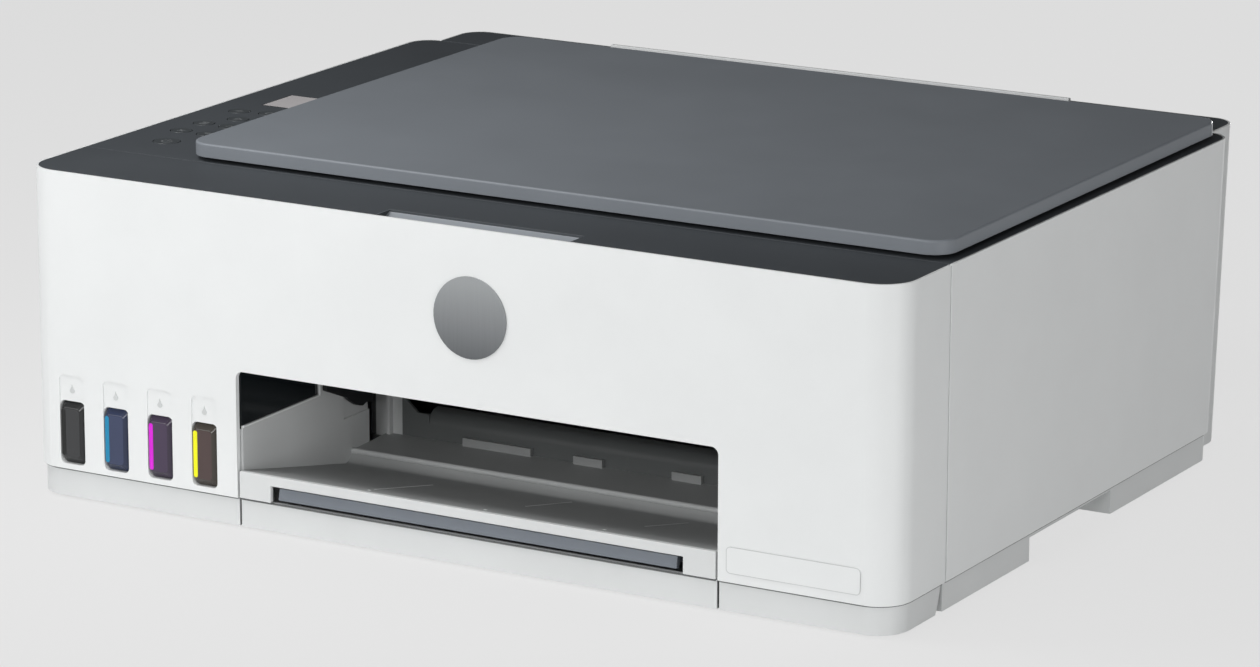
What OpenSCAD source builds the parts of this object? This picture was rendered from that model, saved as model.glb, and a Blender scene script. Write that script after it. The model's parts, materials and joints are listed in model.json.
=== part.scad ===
// Ink-tank inkjet printer with a flatbed scanner. Origin: centre of the footprint, on the table plane.
// Modules are written from the front face back: y = 0 is the front face, z = 0 the shell's underside.

/* [Body] */
// Overall width
body_w = 434.66; // [420:0.01:450]
// Overall depth, front face to rear cover
body_d = 361.5; // [355:0.5:370]
// Height of the white shell and the top deck
shell_h = 148.7; // [147:0.1:151]
// Height of the lower trim line
trim_h = 12.9; // [10:0.1:15]
// How far the lower trim stands back from the shell
trim_inset = 1.5; // [0.5:0.1:3]
// Height of the rubber feet below the shell
foot_h = 1; // [0.6:0.1:2]
// Shell wall thickness
wall = 2.5; // [2:0.1:3]
// Radius of the front corners in plan
front_r = 16; // [12:1:20]
// Radius of the rear corners in plan
rear_r = 11.6; // [8:0.1:14]
// Lean of the rear wall
rear_lean = 4; // [2:0.5:5]
// Depth of the main body at the top, before the narrower rear cover
main_d = 331; // [328:1:333]
// Step in from the main body's side to the rear cover's side
rear_step = 10.8; // [10:0.1:15]

/* [Front door] */
// Distance back to the seam between the door and the side panels
door_d = 45.9; // [44:0.1:48]
// Centre line of the paper path, the opening and the finger recess
path_x = 14.65; // [10:0.05:20]
// Width of the output opening
bay_w = 239.9; // [230:0.1:245]
// Top of the output opening
bay_top = 70.4; // [65:0.1:75]
// Height of the door's hinge line
door_pivot_z = 13; // [12:0.5:14]

/* [Ink tanks] */
// Centre of the first window
window_x = -193.2; // [-195:0.1:-191]
// Distance from window to window
window_pitch = 23.6; // [23:0.1:24]
// Window width
window_w = 13.2; // [12:0.1:14]
// Window height
window_h = 29; // [26:0.5:30]
// Underside of the windows
window_z = 15.5; // [15:0.1:17]

/* [Scanner] */
// Lid width
lid_w = 376; // [370:1:380]
// Lid depth
lid_d = 277; // [272:1:279]
// Lid thickness
lid_t = 6.2; // [5.5:0.1:7]
// Gap between the lid and the deck
lid_gap = 2.1; // [2:0.1:3]
// Lid's left edge
lid_x = -162.5; // [-164:0.5:-160]
// Glass width
glass_w = 306; // [300:1:310]
// Glass depth
glass_d = 222; // [218:1:226]

/* [Paper] */
// Left edge of the widest sheet, where the width guide rests
guide_x = -96; // [-98:0.5:-94]
// Length of the paper support
support_l = 100; // [80:5:102]
// Height of the support's top edge above the deck
support_rise = 5; // [3:0.5:8]
// Travel of the width guide
guide_travel = 90; // [60:5:90]

/* [Carriage] */
// Guide rod diameter
rod_d = 8; // [6:0.5:10]
// Running clearance of shafts in their bores
run_fit = 0.05; // [0.02:0.01:0.08]

/* [Hidden] */
$fn = 48;
half_w = body_w / 2;
front_y = -body_d / 2;
floor_t = 2.5;
deck_t = 2.5;
deck_under = shell_h - deck_t;
rim = 1;
seam = 0.9;
fit_gap = 0.3;
bay_x0 = path_x - bay_w / 2;
bay_x1 = path_x + bay_w / 2;
centre_gap = 1.1;
centre_x0 = bay_x0 + centre_gap;
centre_x1 = bay_x1 - centre_gap;
door_pivot_y = 5;
door_pin_r = 1.5;
recess_w = 96;
recess_d = 12;
recess_drop = 6;
badge_r = 18;
badge_z = 110;
badge_proud = 0.6;
label_x = [138.7, 201.5];
label_z = [17, 28.7];
label_proud = 0.3;
lens_gap = 0.6;
mark_h = 11.8;
mark_depth = 0.5;

grip_y0 = 129;
grip_y1 = 211;
grip_depth = 16.5;
grip_z = 10.9;

tank_w = window_pitch - 1;
tank_y0 = 5;
tank_y1 = 75;
tank_z0 = 14.2;
tank_z1 = 72;
neck_y = 25;
neck_z = 82;
neck_r = 8;
cap_t = 3;
cap_pin_r = 1;
spigot_z = tank_z0 + 8;
cap_pivot_y = 39;
cap_pivot_z = 81.5;

lid_x1 = lid_x + lid_w;
lid_y0 = 48;
lid_y1 = lid_y0 + lid_d;
lid_z0 = shell_h + lid_gap;
lid_z1 = lid_z0 + lid_t;
lid_r = 11;
hinge_y = lid_y1 - 3.5;
hinge_z = lid_z0 + 2.6;
hinge_pin_r = 1.2;
hinge_x = [-111, 162];

glass_x0 = lid_x + (lid_w - glass_w) / 2;
glass_y0 = lid_y0 + (lid_d - glass_d) / 2;
glass_t = 3;
tub_x0 = -150;
tub_x1 = 206;
tub_y0 = 62;
tub_y1 = 312;
tub_z0 = 118;
tub_wall = 2;
ledge_z = deck_under - glass_t;
scan_rod_y = 187;
scan_rod_z = 126;
scan_rod_d = 6;
scan_home_x = -138;

power_key_at = [-191.5, 74.6];
power_key_r = 6.1;
key_at = [[-198.6, 96.4], [-184.4, 96.5], [-198.5, 114.5], [-184.4, 114.5],
          [-189.9, 129.6], [-199.1, 144.3], [-184.4, 147]];
key_r = 4.9;
key_gap = 0.3;
key_board_z = 140;
display_x = [-198, -172];
display_y = [160.4, 186];
display_t = 1;

tray_z = 25.3;
panel_y1 = 63.9;
panel_z = 45;
panel_top = 76.5;
panel_lip = 1.5;
wall_recess = [[84, 28.7], [106, 46]];
liner_t = 2;
liner_y1 = 105;
liner_top = 98;
tab_x = [[-62.6, -26.8], [-4.6, 10.4], [45.9, 60.9]];
tab_h = 2.7;
shelf_z = 15;
tray_foot_y = 85;
tray_foot_z = 7.87;
shelf_y = 120;
tray_slope = atan((tray_z - tray_foot_z) / (tray_foot_y - 2));
slot_x = [-88, 118];
slot_z = 20.8;
extender_l = 71;

platen_z = 49;
feed_at = [200, 43];
output_at = [136, 43];
gear_m = 1;
roller_teeth = 40;
drive_teeth = 30;
mesh_d = gear_m * (roller_teeth + drive_teeth) / 2;
half_span = (feed_at[0] - output_at[0]) / 2;
drive_at = [output_at[0] + half_span, feed_at[1] - sqrt(mesh_d * mesh_d - half_span * half_span)];
gear_x0 = -198;
gear_x1 = -193;
feed_dir = atan2(feed_at[1] - drive_at[1], feed_at[0] - drive_at[0]);
output_dir = atan2(output_at[1] - drive_at[1], output_at[0] - drive_at[0]);
feed_turn = mesh_turn(roller_teeth, phase(drive_teeth, 0, feed_dir), feed_dir);
output_turn = mesh_turn(roller_teeth, phase(drive_teeth, 0, output_dir), output_dir);
cheek_x = [-114, 136];
exit_y = shelf_y + 0.1;
guide_x0 = -82.1;
cheek_t = 3;
roller_shaft_r = 4;
sleeve_r = 6;
rib_pitch = 14;
rib_w = 1.2;

carriage_x0 = 140;
carriage_x1 = 202;
carriage_y0 = 140;
carriage_y1 = 194;
carriage_z0 = 53;
carriage_z1 = 108;
rod_at = [204, 76];
chassis_y = 216;
chassis_t = 2;
chassis_x = 207;
chassis_top = 112;
pulley_x = 196;
pulley_z = 91;
pulley_r = 5;
belt_t = 1.2;
belt_y = [206, 211];
belt_z0 = pulley_z - pulley_r - belt_t - 0.1;
motor_r = 12.5;
motor_l = 26;
motor_shaft_r = 1.5;
station_x = [143, 197];
station_y = [142, 196];
station_z = 44;
station_skin = 2;
cap_face_z = 50.8;
latch_pivot = [137, 72];
head_x = [carriage_x0 + 4.5, carriage_x0 + 32.5];
head_w = 25;

slot_y = 343;
support_x = [-117, 128.8];
flap_x = [-112, 124];
flap_y = 333.4;
flap_z = 147.6;
pickup_at = [322, 84];
pickup_r = 12;
pickup_shaft_r = 4;
arm_x = [path_x - 22, path_x + 18];
arm_t = 4;

foot_x = 188;
foot_y = [58, 296];
foot_r = 8;

inlet_box = [[-184, 338, 13], [-160, 352, 29]];
usb_box = [[-131, 336, 13.6], [-119, 352, 24.6]];
board_z = 12;
board_at = [[-138, 262], [-40, 346]];
board_post = [[-134, 268], [-134, 338], [-48, 268], [-48, 338]];

// ---- Shared shapes ----

// Puts a shape drawn from the front face and the shell's underside into the part's frame.
module place() {
    translate([0, front_y, foot_h]) children();
}

// Box between two opposite corners.
module block(a, b) {
    translate(a) cube(b - a);
}

// Cylinders along each axis, given their ends and centre line.
module rod_x(x0, x1, y, z, r) {
    translate([x0, y, z]) rotate([0, 90, 0]) cylinder(r = r, h = x1 - x0);
}

module rod_y(x, y0, y1, z, r) {
    translate([x, y1, z]) rotate([90, 0, 0]) cylinder(r = r, h = y1 - y0);
}

module rod_z(x, y, z0, z1, r) {
    translate([x, y, z0]) cylinder(r = r, h = z1 - z0);
}

// Outline in the Y-Z plane, extruded across the width.
module across(x0, x1) {
    translate([x0, 0, 0]) rotate([90, 0, 90]) linear_extrude(x1 - x0) children();
}

// Outline in the X-Z plane, extruded from y0 back to y1.
module upright(y0, y1) {
    translate([0, y1, 0]) rotate([90, 0, 0]) linear_extrude(y1 - y0) children();
}

// Rectangle with four round corners.
module rounded(x0, x1, y0, y1, r) {
    translate([x0 + r, y0]) square([x1 - x0 - 2 * r, y1 - y0]);
    translate([x0, y0 + r]) square([x1 - x0, y1 - y0 - 2 * r]);
    for (x = [x0 + r, x1 - r], y = [y0 + r, y1 - r])
        translate([x, y]) circle(r);
}

// Strip of even depth below a chain of points.
module band(pts, drop) {
    n = len(pts);
    polygon(concat(pts, [for (i = [n - 1 : -1 : 0]) pts[i] - [0, drop]]));
}

// Extrusion that leans with the rear wall, its y = 0 plane meeting the top at y_top.
module leaned(y_top, z0, z1) {
    translate([0, y_top, shell_h]) rotate([-rear_lean, 0, 0])
        translate([0, 0, z0]) linear_extrude(z1 - z0) children();
}

// The main body's outer block, drawn in by inset.
module body_block(inset, z0, z1) {
    intersection() {
        translate([0, 0, z0]) linear_extrude(z1 - z0)
            rounded(inset - half_w, half_w - inset, inset, body_d + main_d, front_r - inset);
        leaned(main_d, -2 * shell_h, shell_h)
            rounded(inset - half_w, half_w - inset, -body_d - main_d, -inset, rear_r - inset);
    }
}

// The narrower rear section's outer block, drawn in by inset.
module rear_block(inset, z0, z1) {
    x = half_w - rear_step - inset;
    intersection() {
        block([-half_w, main_d / 2, z0], [half_w, 2 * body_d, z1]);
        leaned(body_d, -2 * shell_h, shell_h) rounded(-x, x, -body_d / 3, -inset, rear_r - inset);
        leaned(main_d, -2 * shell_h, shell_h) translate([-half_w, 0]) square([body_w, body_d]);
    }
}

// Everything between two depths, across the whole width and height.
module depth_range(y0, y1) {
    block([-body_w, y0, -shell_h], [body_w, y1, 2 * shell_h]);
}

// Moulded shell: outer block less its inside, with a thin rim round the deck.
module shell(z0) {
    difference() {
        body_block(0, z0, shell_h);
        body_block(wall, z0 - 1, deck_under);
        body_block(rim, deck_under, shell_h + 1);
    }
}

// Spur gear outline with a tooth at angle turn.
module gear_outline(teeth, turn) {
    pitch_r = gear_m * teeth / 2;
    tip_r = pitch_r + 0.8 * gear_m;
    root_r = pitch_r - 1.15 * gear_m;
    step = 360 / teeth;
    for (i = [0 : teeth - 1])
        rotate(turn + i * step)
            polygon([[root_r - 0.5, -1], [tip_r, -0.34], [tip_r, 0.34], [root_r - 0.5, 1]] * gear_m);
    circle(root_r);
}

// Tooth phase, in pitches, that a gear with a tooth at angle turn shows in a direction.
function phase(teeth, turn, direction) = (direction - turn) * teeth / 360;

// Turn that meshes a gear with a neighbour whose phase is known in the shared direction.
function mesh_turn(teeth, other_phase, direction) = direction + 180 - (0.5 - other_phase) * 360 / teeth;

// ---- Casing ----

module base_pan() {
    inner = trim_inset + wall;
    color("gainsboro") place() difference() {
        union() {
            difference() {
                intersection() {
                    body_block(trim_inset, 0, trim_h);
                    depth_range(door_d + 0.1, body_d);
                }
                intersection() {
                    body_block(inner, floor_t, trim_h + 1);
                    depth_range(0, body_d);
                }
            }
            rear_block(wall, 0, floor_t);
            block([rear_step + wall + 1 - half_w, 300, 0], [half_w - rear_step - wall - 1, 326, floor_t]);
            block([5 - half_w, 20, 0], [half_w - 5, door_d + 1, floor_t]);
            block([centre_x0, trim_inset, 0], [centre_x1, door_d + 1, floor_t]);
            block([centre_x0, trim_inset, 0], [centre_x1, trim_inset + 2, trim_h]);
            for (x = [centre_x0, centre_x1 - wall]) {
                block([x, 3.2, 0], [x + wall, 22, 10]);
                rod_x(x, x + wall, door_pivot_y, door_pivot_z, 2.7);
                block([x, 3.2, 9], [x + wall, 7, door_pivot_z]);
            }
            for (y = [24, 66])
                block([window_x - 11, y, floor_t], [bay_x0 - 6, y + 2, tank_z0]);
            for (side = [-1, 1])
                grip_box(side, wall, trim_h);
        }
        for (side = [-1, 1])
            grip_box(side, 0, grip_z);
        for (x = [centre_x0, centre_x1 - wall])
            rod_x(x - 1, x + wall + 1, door_pivot_y, door_pivot_z, door_pin_r + run_fit);
        block([rear_step + wall + 1 - half_w, 300, floor_t],
              [half_w - rear_step - wall - 1, body_d, trim_h + 1]);
    }
}

// Finger grip in the base's side, or the wall round it.
module grip_box(side, margin, top) {
    x0 = half_w - grip_depth - margin;
    x1 = half_w - trim_inset + (margin > 0 ? -wall / 2 : 1);
    z0 = margin > 0 ? 0 : -1;
    mirror([side < 0 ? 1 : 0, 0, 0])
        block([x0, grip_y0 - margin, z0], [x1, grip_y1 + margin, top]);
}

module side_panel() {
    intersection() {
        shell(trim_h);
        block([half_w - rear_step, door_d + seam, trim_h], [half_w + 1, body_d, shell_h]);
    }
}

module left_side_panel() {
    color("whitesmoke") place() mirror([1, 0, 0]) side_panel();
}

module right_side_panel() {
    color("whitesmoke") place() side_panel();
}

module rear_cover() {
    color("lightgray") place() difference() {
        rear_block(0, 0, shell_h);
        rear_block_inside();
        block(inlet_box[0] - [1, 20, 1], inlet_box[1] + [1, 20, 1]);
        block(usb_box[0] - [1, 20, 1], usb_box[1] + [1, 20, 1]);
    }
}

// Room inside the rear section, up to the deck.
module rear_block_inside() {
    x = half_w - rear_step;
    intersection() {
        block([-half_w, main_d / 2, -1], [half_w, 2 * body_d, deck_under]);
        leaned(body_d, -2 * shell_h, shell_h)
            rounded(wall - x, x - wall, -body_d / 2, -wall, rear_r - wall);
    }
    intersection() {
        block([-half_w, main_d / 2, deck_under], [half_w, 2 * body_d, shell_h + 1]);
        leaned(body_d, -2 * shell_h, shell_h)
            rounded(rim - x, x - rim, -body_d / 2, -rim, rear_r - rim);
    }
}

module rear_deck() {
    color("#34383b") place() difference() {
        rear_block(rim, deck_under, shell_h);
        leaned(slot_y, -10, 10) translate([support_x[0] - 0.5, main_d + 1.5 - slot_y])
            square([support_x[1] - support_x[0] + 1, slot_y - main_d + 2]);
        rod_x(flap_x[0] - 9, flap_x[1] + 9, flap_y + 0.4, flap_z, 0.8 + run_fit);
    }
}

module scanner_deck() {
    color("#3f4447") place() difference() {
        intersection() {
            body_block(rim, deck_under, shell_h);
            depth_range(door_d + seam + 0.5, body_d);
        }
        block([glass_x0 + 3, glass_y0 + 3, 0],
              [glass_x0 + glass_w - 3, glass_y0 + glass_d - 3, shell_h + 1]);
        block([display_x[0], display_y[0], shell_h - display_t],
              [display_x[1], display_y[1], shell_h + 1]);
        translate([0, 0, deck_under - 1]) {
            translate(power_key_at) cylinder(r = power_key_r + key_gap, h = 2 * deck_t);
            for (p = key_at)
                translate(p) cylinder(r = key_r + key_gap, h = 2 * deck_t);
        }
    }
}

module display_window() {
    color("#c9c4c4") place()
        block([display_x[0], display_y[0], shell_h - display_t], [display_x[1], display_y[1], shell_h]);
}

// ---- Front door ----

module door_shell() {
    color("whitesmoke") place() difference() {
        union() {
            intersection() {
                shell(trim_h);
                depth_range(-1, door_d);
            }
            badge();
            label_plate();
        }
        upright(-2, wall + 1) bay_outline();
        for (i = [0 : 3])
            window_hole(window_x + i * window_pitch);
        block([path_x - recess_w / 2 - 1, rim, shell_h - recess_drop - 4],
              [path_x + recess_w / 2 + 1, wall + 0.1, shell_h]);
    }
}

// Opening of the output bay, with its upper corners slightly round.
module bay_outline() {
    r = 3.4;
    translate([bay_x0, -1]) square([bay_w, bay_top - r + 1]);
    translate([bay_x0 + r, bay_top - 2 * r]) square([bay_w - 2 * r, 2 * r]);
    for (x = [bay_x0 + r, bay_x1 - r])
        translate([x, bay_top - r]) circle(r);
}

// Rounded hole for a tank's window, with a shallow recess above it for a mark.
module window_hole(x) {
    upright(-1, wall + 1)
        rounded(x - window_w / 2, x + window_w / 2, window_z, window_z + window_h, 2.5);
    upright(-1, mark_depth)
        rounded(x - window_w / 2, x + window_w / 2,
                window_z + window_h - 4, window_z + window_h + mark_h, 2.5);
}

// Plain round disc in the middle of the door.
module badge() {
    rod_y(path_x, -badge_proud, wall / 2, badge_z, badge_r);
}

// Bare raised plate at the lower right.
module label_plate() {
    upright(-label_proud, wall / 2) rounded(label_x[0], label_x[1], label_z[0], label_z[1], 2);
}

module door_top_strip() {
    x0 = path_x - recess_w / 2;
    x1 = path_x + recess_w / 2;
    color("#4a4e51") place() difference() {
        union() {
            intersection() {
                body_block(rim, deck_under, shell_h);
                depth_range(-1, door_d + seam);
            }
            across(x0 - 0.8, x1 + 0.8)
                polygon([[rim, deck_under + 1], [rim, shell_h - recess_drop - 1.5],
                         [rim + recess_d + 2, deck_under], [rim + recess_d + 2, deck_under + 1]]);
        }
        across(x0, x1)
            polygon([[rim, shell_h + 1], [rim, shell_h - recess_drop],
                     [rim + recess_d, shell_h - 1.2], [rim + recess_d, shell_h + 1]]);
    }
}

module door_trims() {
    inner = trim_inset + wall;
    color("gainsboro") place() {
        difference() {
            intersection() {
                body_block(trim_inset, 0, trim_h);
                depth_range(-1, door_d - 1);
            }
            body_block(inner, -1, trim_h + 1);
            block([bay_x0, -1, -1], [bay_x1, wall + inner, trim_h + 1]);
            across(-body_w, body_w) difference() {
                translate([door_pivot_y + 25, -1]) square([25, trim_h + 2]);
                translate([door_pivot_y, door_pivot_z + 6]) circle(r = door_d - door_pivot_y - 1, $fn = 96);
            }
        }
        door_pin(bay_x0, -1);
        door_pin(bay_x1, 1);
    }
}

// Moulded hinge pin and its web on one leg of the door.
module door_pin(x, side) {
    near = x - side * (centre_gap + 2);
    far = x + side * 4;
    difference() {
        block([min(x + side, far), wall, 4], [max(x + side, far), door_pivot_y + 3.5, trim_h + 3.6]);
        block([-half_w, wall, trim_h], [half_w, 2.6, trim_h + 4]);
        block([-half_w, 0, 0], [half_w, trim_inset + wall - 0.5, trim_h]);
    }
    rod_x(min(near, far), max(near, far), door_pivot_y, door_pivot_z, door_pin_r);
}

// ---- Scanner lid and bed ----

module scanner_lid() {
    color("#5d6266") place() difference() {
        translate([0, 0, lid_z0]) linear_extrude(lid_t)
            rounded(lid_x, lid_x1, lid_y0, lid_y1, lid_r);
        for (x = hinge_x) {
            block([x - 9, hinge_y - 3, lid_z0 - 1], [x + 9, lid_y1 + 1, lid_z1 - 1.1]);
            rod_x(x - 14, x + 14, hinge_y, hinge_z, hinge_pin_r + run_fit);
        }
    }
}

module lid_pad() {
    color("white") place() translate([0, 0, shell_h + fit_gap]) linear_extrude(lid_gap - fit_gap)
        rounded(glass_x0 - 2, glass_x0 + glass_w + 2, glass_y0 - 2, glass_y0 + glass_d + 2, 4);
}

// Two posts on the deck, each with a cross pin that the lid turns on.
module lid_hinges() {
    color("#303336") place()
        for (x = hinge_x) {
            block([x - 8, hinge_y - 14, shell_h], [x + 8, hinge_y + 1.8, shell_h + 1.2]);
            block([x - 8, hinge_y - 1.8, shell_h], [x + 8, hinge_y + 1.8, hinge_z]);
            rod_x(x - 8, x + 8, hinge_y, hinge_z, 2.2);
            rod_x(x - 13.5, x + 13.5, hinge_y, hinge_z, hinge_pin_r);
        }
}

module scan_glass() {
    color([0.8, 0.9, 0.9, 0.4]) place()
        glass_plate(deck_under);
}

// Room of the glass plate, up to a given height.
module glass_plate(top) {
    block([glass_x0 - 5, glass_y0 - 5, ledge_z], [glass_x0 + glass_w + 5, glass_y0 + glass_d + 5, top]);
}

module scanner_tub() {
    color("#2b2d2f") place() difference() {
        block([tub_x0, tub_y0, tub_z0], [tub_x1, tub_y1, deck_under]);
        block([tub_x0 + tub_wall, tub_y0 + tub_wall, tub_z0 + tub_wall],
              [tub_x1 - tub_wall, tub_y1 - tub_wall, ledge_z - 2.5]);
        block([tub_x0 + tub_wall, glass_y0 + 3, ledge_z - 3],
              [tub_x1 - tub_wall, glass_y0 + glass_d - 3, ledge_z]);
        glass_plate(deck_under + 1);
    }
}

// Sensor bar that travels below the glass on its own rod.
module scan_bar() {
    color("#1d1f21") place() difference() {
        union() {
            block([scan_home_x, glass_y0 + 5, scan_rod_z + 5],
                  [scan_home_x + 20, glass_y0 + glass_d - 5, ledge_z - 0.6]);
            block([scan_home_x - 4, scan_rod_y - 6, scan_rod_z - 5],
                  [scan_home_x + 24, scan_rod_y + 6, scan_rod_z + 6]);
        }
        rod_x(scan_home_x - 5, scan_home_x + 25, scan_rod_y, scan_rod_z, scan_rod_d / 2 + run_fit);
    }
}

// ---- Control strip ----

// Round key: cap flush with the deck, flange below it.
module round_key(at, r) {
    translate(at) {
        translate([0, 0, deck_under - 1.4]) cylinder(r = r, h = deck_t + 1.5);
        translate([0, 0, deck_under - 1.7]) cylinder(r = r + 1.4, h = 1.5);
        translate([0, 0, key_board_z + 2.5]) cylinder(r = 2, h = deck_under - key_board_z - 4);
    }
}

module power_key() {
    color("#44484b") place() round_key(power_key_at, power_key_r);
}

module small_key(i) {
    color("#44484b") place() round_key(key_at[i - 1], key_r);
}

// ---- Ink system ----

module ink_tanks() {
    color("#d9dcdd") place()
        for (i = [0 : 3])
            translate([window_x + i * window_pitch, 0, 0]) tank();
}

// One tank: box, filler neck, lugs for its cap and an outlet spigot, around the centre line x = 0.
module tank() {
    skin = 1.6;
    x = tank_w / 2;
    difference() {
        union() {
            block([-x, tank_y0, tank_z0], [x, tank_y1, tank_z1]);
            rod_z(0, neck_y, tank_z1 - 1, neck_z, neck_r);
            for (side = [-1, 1])
                block([side * 6.65 - 1.35, cap_pivot_y - 2.5, tank_z1 - 1],
                      [side * 6.65 + 1.35, cap_pivot_y + 2.5, cap_pivot_z + 2.3]);
            rod_y(0, tank_y1 - 1, tank_y1 + 6, spigot_z, 2.4);
        }
        block([skin - x, tank_y0 + skin, tank_z0 + skin], [x - skin, tank_y1 - skin, tank_z1 - skin]);
        rod_z(0, neck_y, tank_z1 - 3, neck_z + 1, neck_r - 3);
        rod_x(-x, x, cap_pivot_y, cap_pivot_z, cap_pin_r + run_fit);
        rod_y(0, tank_y1 - 3, tank_y1 + 7, spigot_z, 1.2);
    }
}

// Raised lenses that show the ink level through the door.
module tank_windows() {
    color([0.25, 0.27, 0.3, 0.7]) place()
        for (i = [0 : 3])
            upright(0.3, tank_y0)
                rounded(window_x + i * window_pitch - window_w / 2 + lens_gap,
                        window_x + i * window_pitch + window_w / 2 - lens_gap,
                        window_z + 1.5 * lens_gap, window_z + window_h - lens_gap, 2);
}

// Hinged stopper of tank number i.
module tank_cap(i) {
    place() translate([window_x + i * window_pitch, 0, 0]) {
        rod_z(0, neck_y, neck_z + 0.1, neck_z + cap_t, neck_r + 1);
        rod_z(0, neck_y, neck_z - 3, neck_z + 1, neck_r - 3.6);
        block([-4, neck_y, neck_z + 0.1], [4, cap_pivot_y, neck_z + 1.6]);
        block([-4, neck_y - 13, neck_z + 1], [4, neck_y, neck_z + cap_t]);
        rod_x(-5, 5, cap_pivot_y, cap_pivot_z, 2.3);
        rod_x(-7.8, 7.8, cap_pivot_y, cap_pivot_z, cap_pin_r);
    }
}

module cap_black() {
    color("#26282a") tank_cap(0);
}

module cap_cyan() {
    color("#1592bd") tank_cap(1);
}

module cap_magenta() {
    color("#c9208f") tank_cap(2);
}

module cap_yellow() {
    color("#e6d820") tank_cap(3);
}

// Four supply tubes from the tanks up and along to the clip above the bay.
module ink_tubes() {
    r = 1.7;
    top = 99.8;
    end_x = 60;
    color("#33363a") place()
        for (i = [0 : 3]) {
            x = window_x + i * window_pitch;
            y = 88 + 3.6 * i;
            z = spigot_z;
            rod_y(x, tank_y1 + 6, y, z, r);
            rod_z(x, y, z, top, r);
            rod_x(x, end_x, y, top, r);
            translate([x, y, z]) sphere(r);
            translate([x, y, top]) sphere(r);
        }
}

// ---- Output bay ----

module bay_liner() {
    t = liner_t;
    color("#b4b7b7") place() {
        difference() {
            union() {
                across(centre_x0 - t, centre_x0) liner_outline();
                across(centre_x1, centre_x1 + t) liner_outline();
            }
            block([centre_x0 - t - 1, 3, panel_z - panel_lip],
                  [centre_x0 - t + 1.2, panel_y1 + panel_lip + 0.1, panel_top + panel_lip]);
            block([centre_x0 - t - 1, 2, panel_z], [centre_x0 + 1, panel_y1, panel_top]);
            block([centre_x0 - 0.8, wall_recess[0][0], wall_recess[0][1]],
                  [centre_x0 + 1, wall_recess[1][0], wall_recess[1][1]]);
        }
        block([centre_x0 - t, liner_y1 - 20, liner_top - 3], [centre_x1 + t, liner_y1 - 2, liner_top]);
    }
}

// Side wall of the bay, clear of the door's hinge at the lower front.
module liner_outline() {
    polygon([[3.2, 18], [20, 18], [20, floor_t], [liner_y1, floor_t], [liner_y1, liner_top - 3],
             [liner_y1 - 20, liner_top], [liner_y1 - 20, 80], [3.2, 80]]);
}

// Smoked panel let into the bay's left wall.
module bay_window() {
    color("#1a1d20") place()
        block([centre_x0 - liner_t, 3.2, panel_z - panel_lip],
              [centre_x0 - liner_t + 1.2, panel_y1 + panel_lip + 0.1, panel_top + panel_lip]);
}

// Floor of the output bay: a slope, a riser with a round lip, a shelf and three tabs.
module output_tray() {
    foot = [tray_foot_y, tray_foot_z];
    color("#8a8d8d") place() {
        across(centre_x0, centre_x1)
            band([[2.2, tray_z], foot, foot + [2.6, 0.7], foot + [4.6, 2.2], foot + [6, 4.4],
                  foot + [8, 5.1], [shelf_y, shelf_z - 1]], 2);
        rod_x(centre_x0, centre_x1, foot[0] + 5.6, foot[1] + 4.6, 0.9);
        block([centre_x0, shelf_y - 2, floor_t], [centre_x1, shelf_y, shelf_z - 2]);
        for (x = tab_x)
            block([x[0], shelf_y - 2.2, shelf_z - 2], [x[1], shelf_y, shelf_z + tab_h]);
    }
}

// White strip across the front of the tray, with the slot for the extender.
module tray_front() {
    color("whitesmoke") place() difference() {
        block([centre_x0, 0, trim_h + 0.3], [centre_x1, 2.2, tray_z]);
        block([slot_x[0], -1, 0], [slot_x[1], 3, slot_z]);
    }
}

// Places a shape in the extender's own frame: y back along the slope, z square to it.
module on_slope() {
    translate([0, 1.4, 18.1]) rotate([-tray_slope, 0, 0]) children();
}

// First stage: a flat tray that slides out under the floor.
module tray_extender() {
    color("#7f858d") place() on_slope() difference() {
        block([slot_x[0] + 4, 3.6, -0.6], [slot_x[1] - 4, extender_l, 2]);
        block([slot_x[0] + 30, 2, 0.4], [slot_x[1] - 30, extender_l - 3, 3]);
    }
}

// Second stage: slides out of the first and carries the visible front bar.
module tray_extension() {
    color("#7f858d") place() on_slope() {
        block([slot_x[0] + 30.3, 1, 0.7], [slot_x[1] - 30.3, extender_l - 8, 1.8]);
        block([slot_x[0] + 3.5, 0, -3.4], [slot_x[1] - 3.5, 2.8, 2]);
    }
}

// ---- Carriage and its drive ----

module carriage() {
    y = rod_at[0];
    z = rod_at[1];
    color("#2a2c2e") place() difference() {
        union() {
            block([carriage_x0, carriage_y0, carriage_z0], [carriage_x1, carriage_y1, carriage_z1]);
            block([carriage_x0 + 6, carriage_y1, z - 8], [carriage_x1 - 6, y + 8, z + 8]);
            block([carriage_x0 + 25, y + 1, z + 7], [carriage_x0 + 37, y + 8, belt_z0 - 0.5]);
            block([carriage_x0 + 10, carriage_y1 - 1, 98.5], [carriage_x1 - 12, y + 8, 102]);
            block([carriage_x0 + 10, y + 4.4, 98.5], [carriage_x1 - 12, y + 8, carriage_z1]);
            for (x = [carriage_x0 + 2, carriage_x1 - 8])
                block([x, latch_pivot[0] - 3, latch_pivot[1] - 4], [x + 6, carriage_y0, latch_pivot[1] + 4]);
        }
        for (x = head_x)
            block([x, carriage_y0 + 5, carriage_z0 - 1], [x + head_w, carriage_y1 - 6, carriage_z1 + 1]);
        rod_x(carriage_x0, carriage_x1, y, z, rod_d / 2 + run_fit);
        rod_x(carriage_x0 + 1, carriage_x1 - 1, latch_pivot[0], latch_pivot[1], 1.5 + run_fit);
    }
}

// Two printheads seated in the carriage, nozzles just below it.
module printheads() {
    color("#17191b") place()
        for (x = head_x) {
            block([x, carriage_y0 + 5, carriage_z0 - 1.5], [x + head_w, carriage_y1 - 6, carriage_z1 - 8]);
            block([x + 6, carriage_y0 + 12, carriage_z1 - 8],
                  [x + head_w - 6, carriage_y1 - 20, carriage_z1 - 3]);
        }
}

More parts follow.
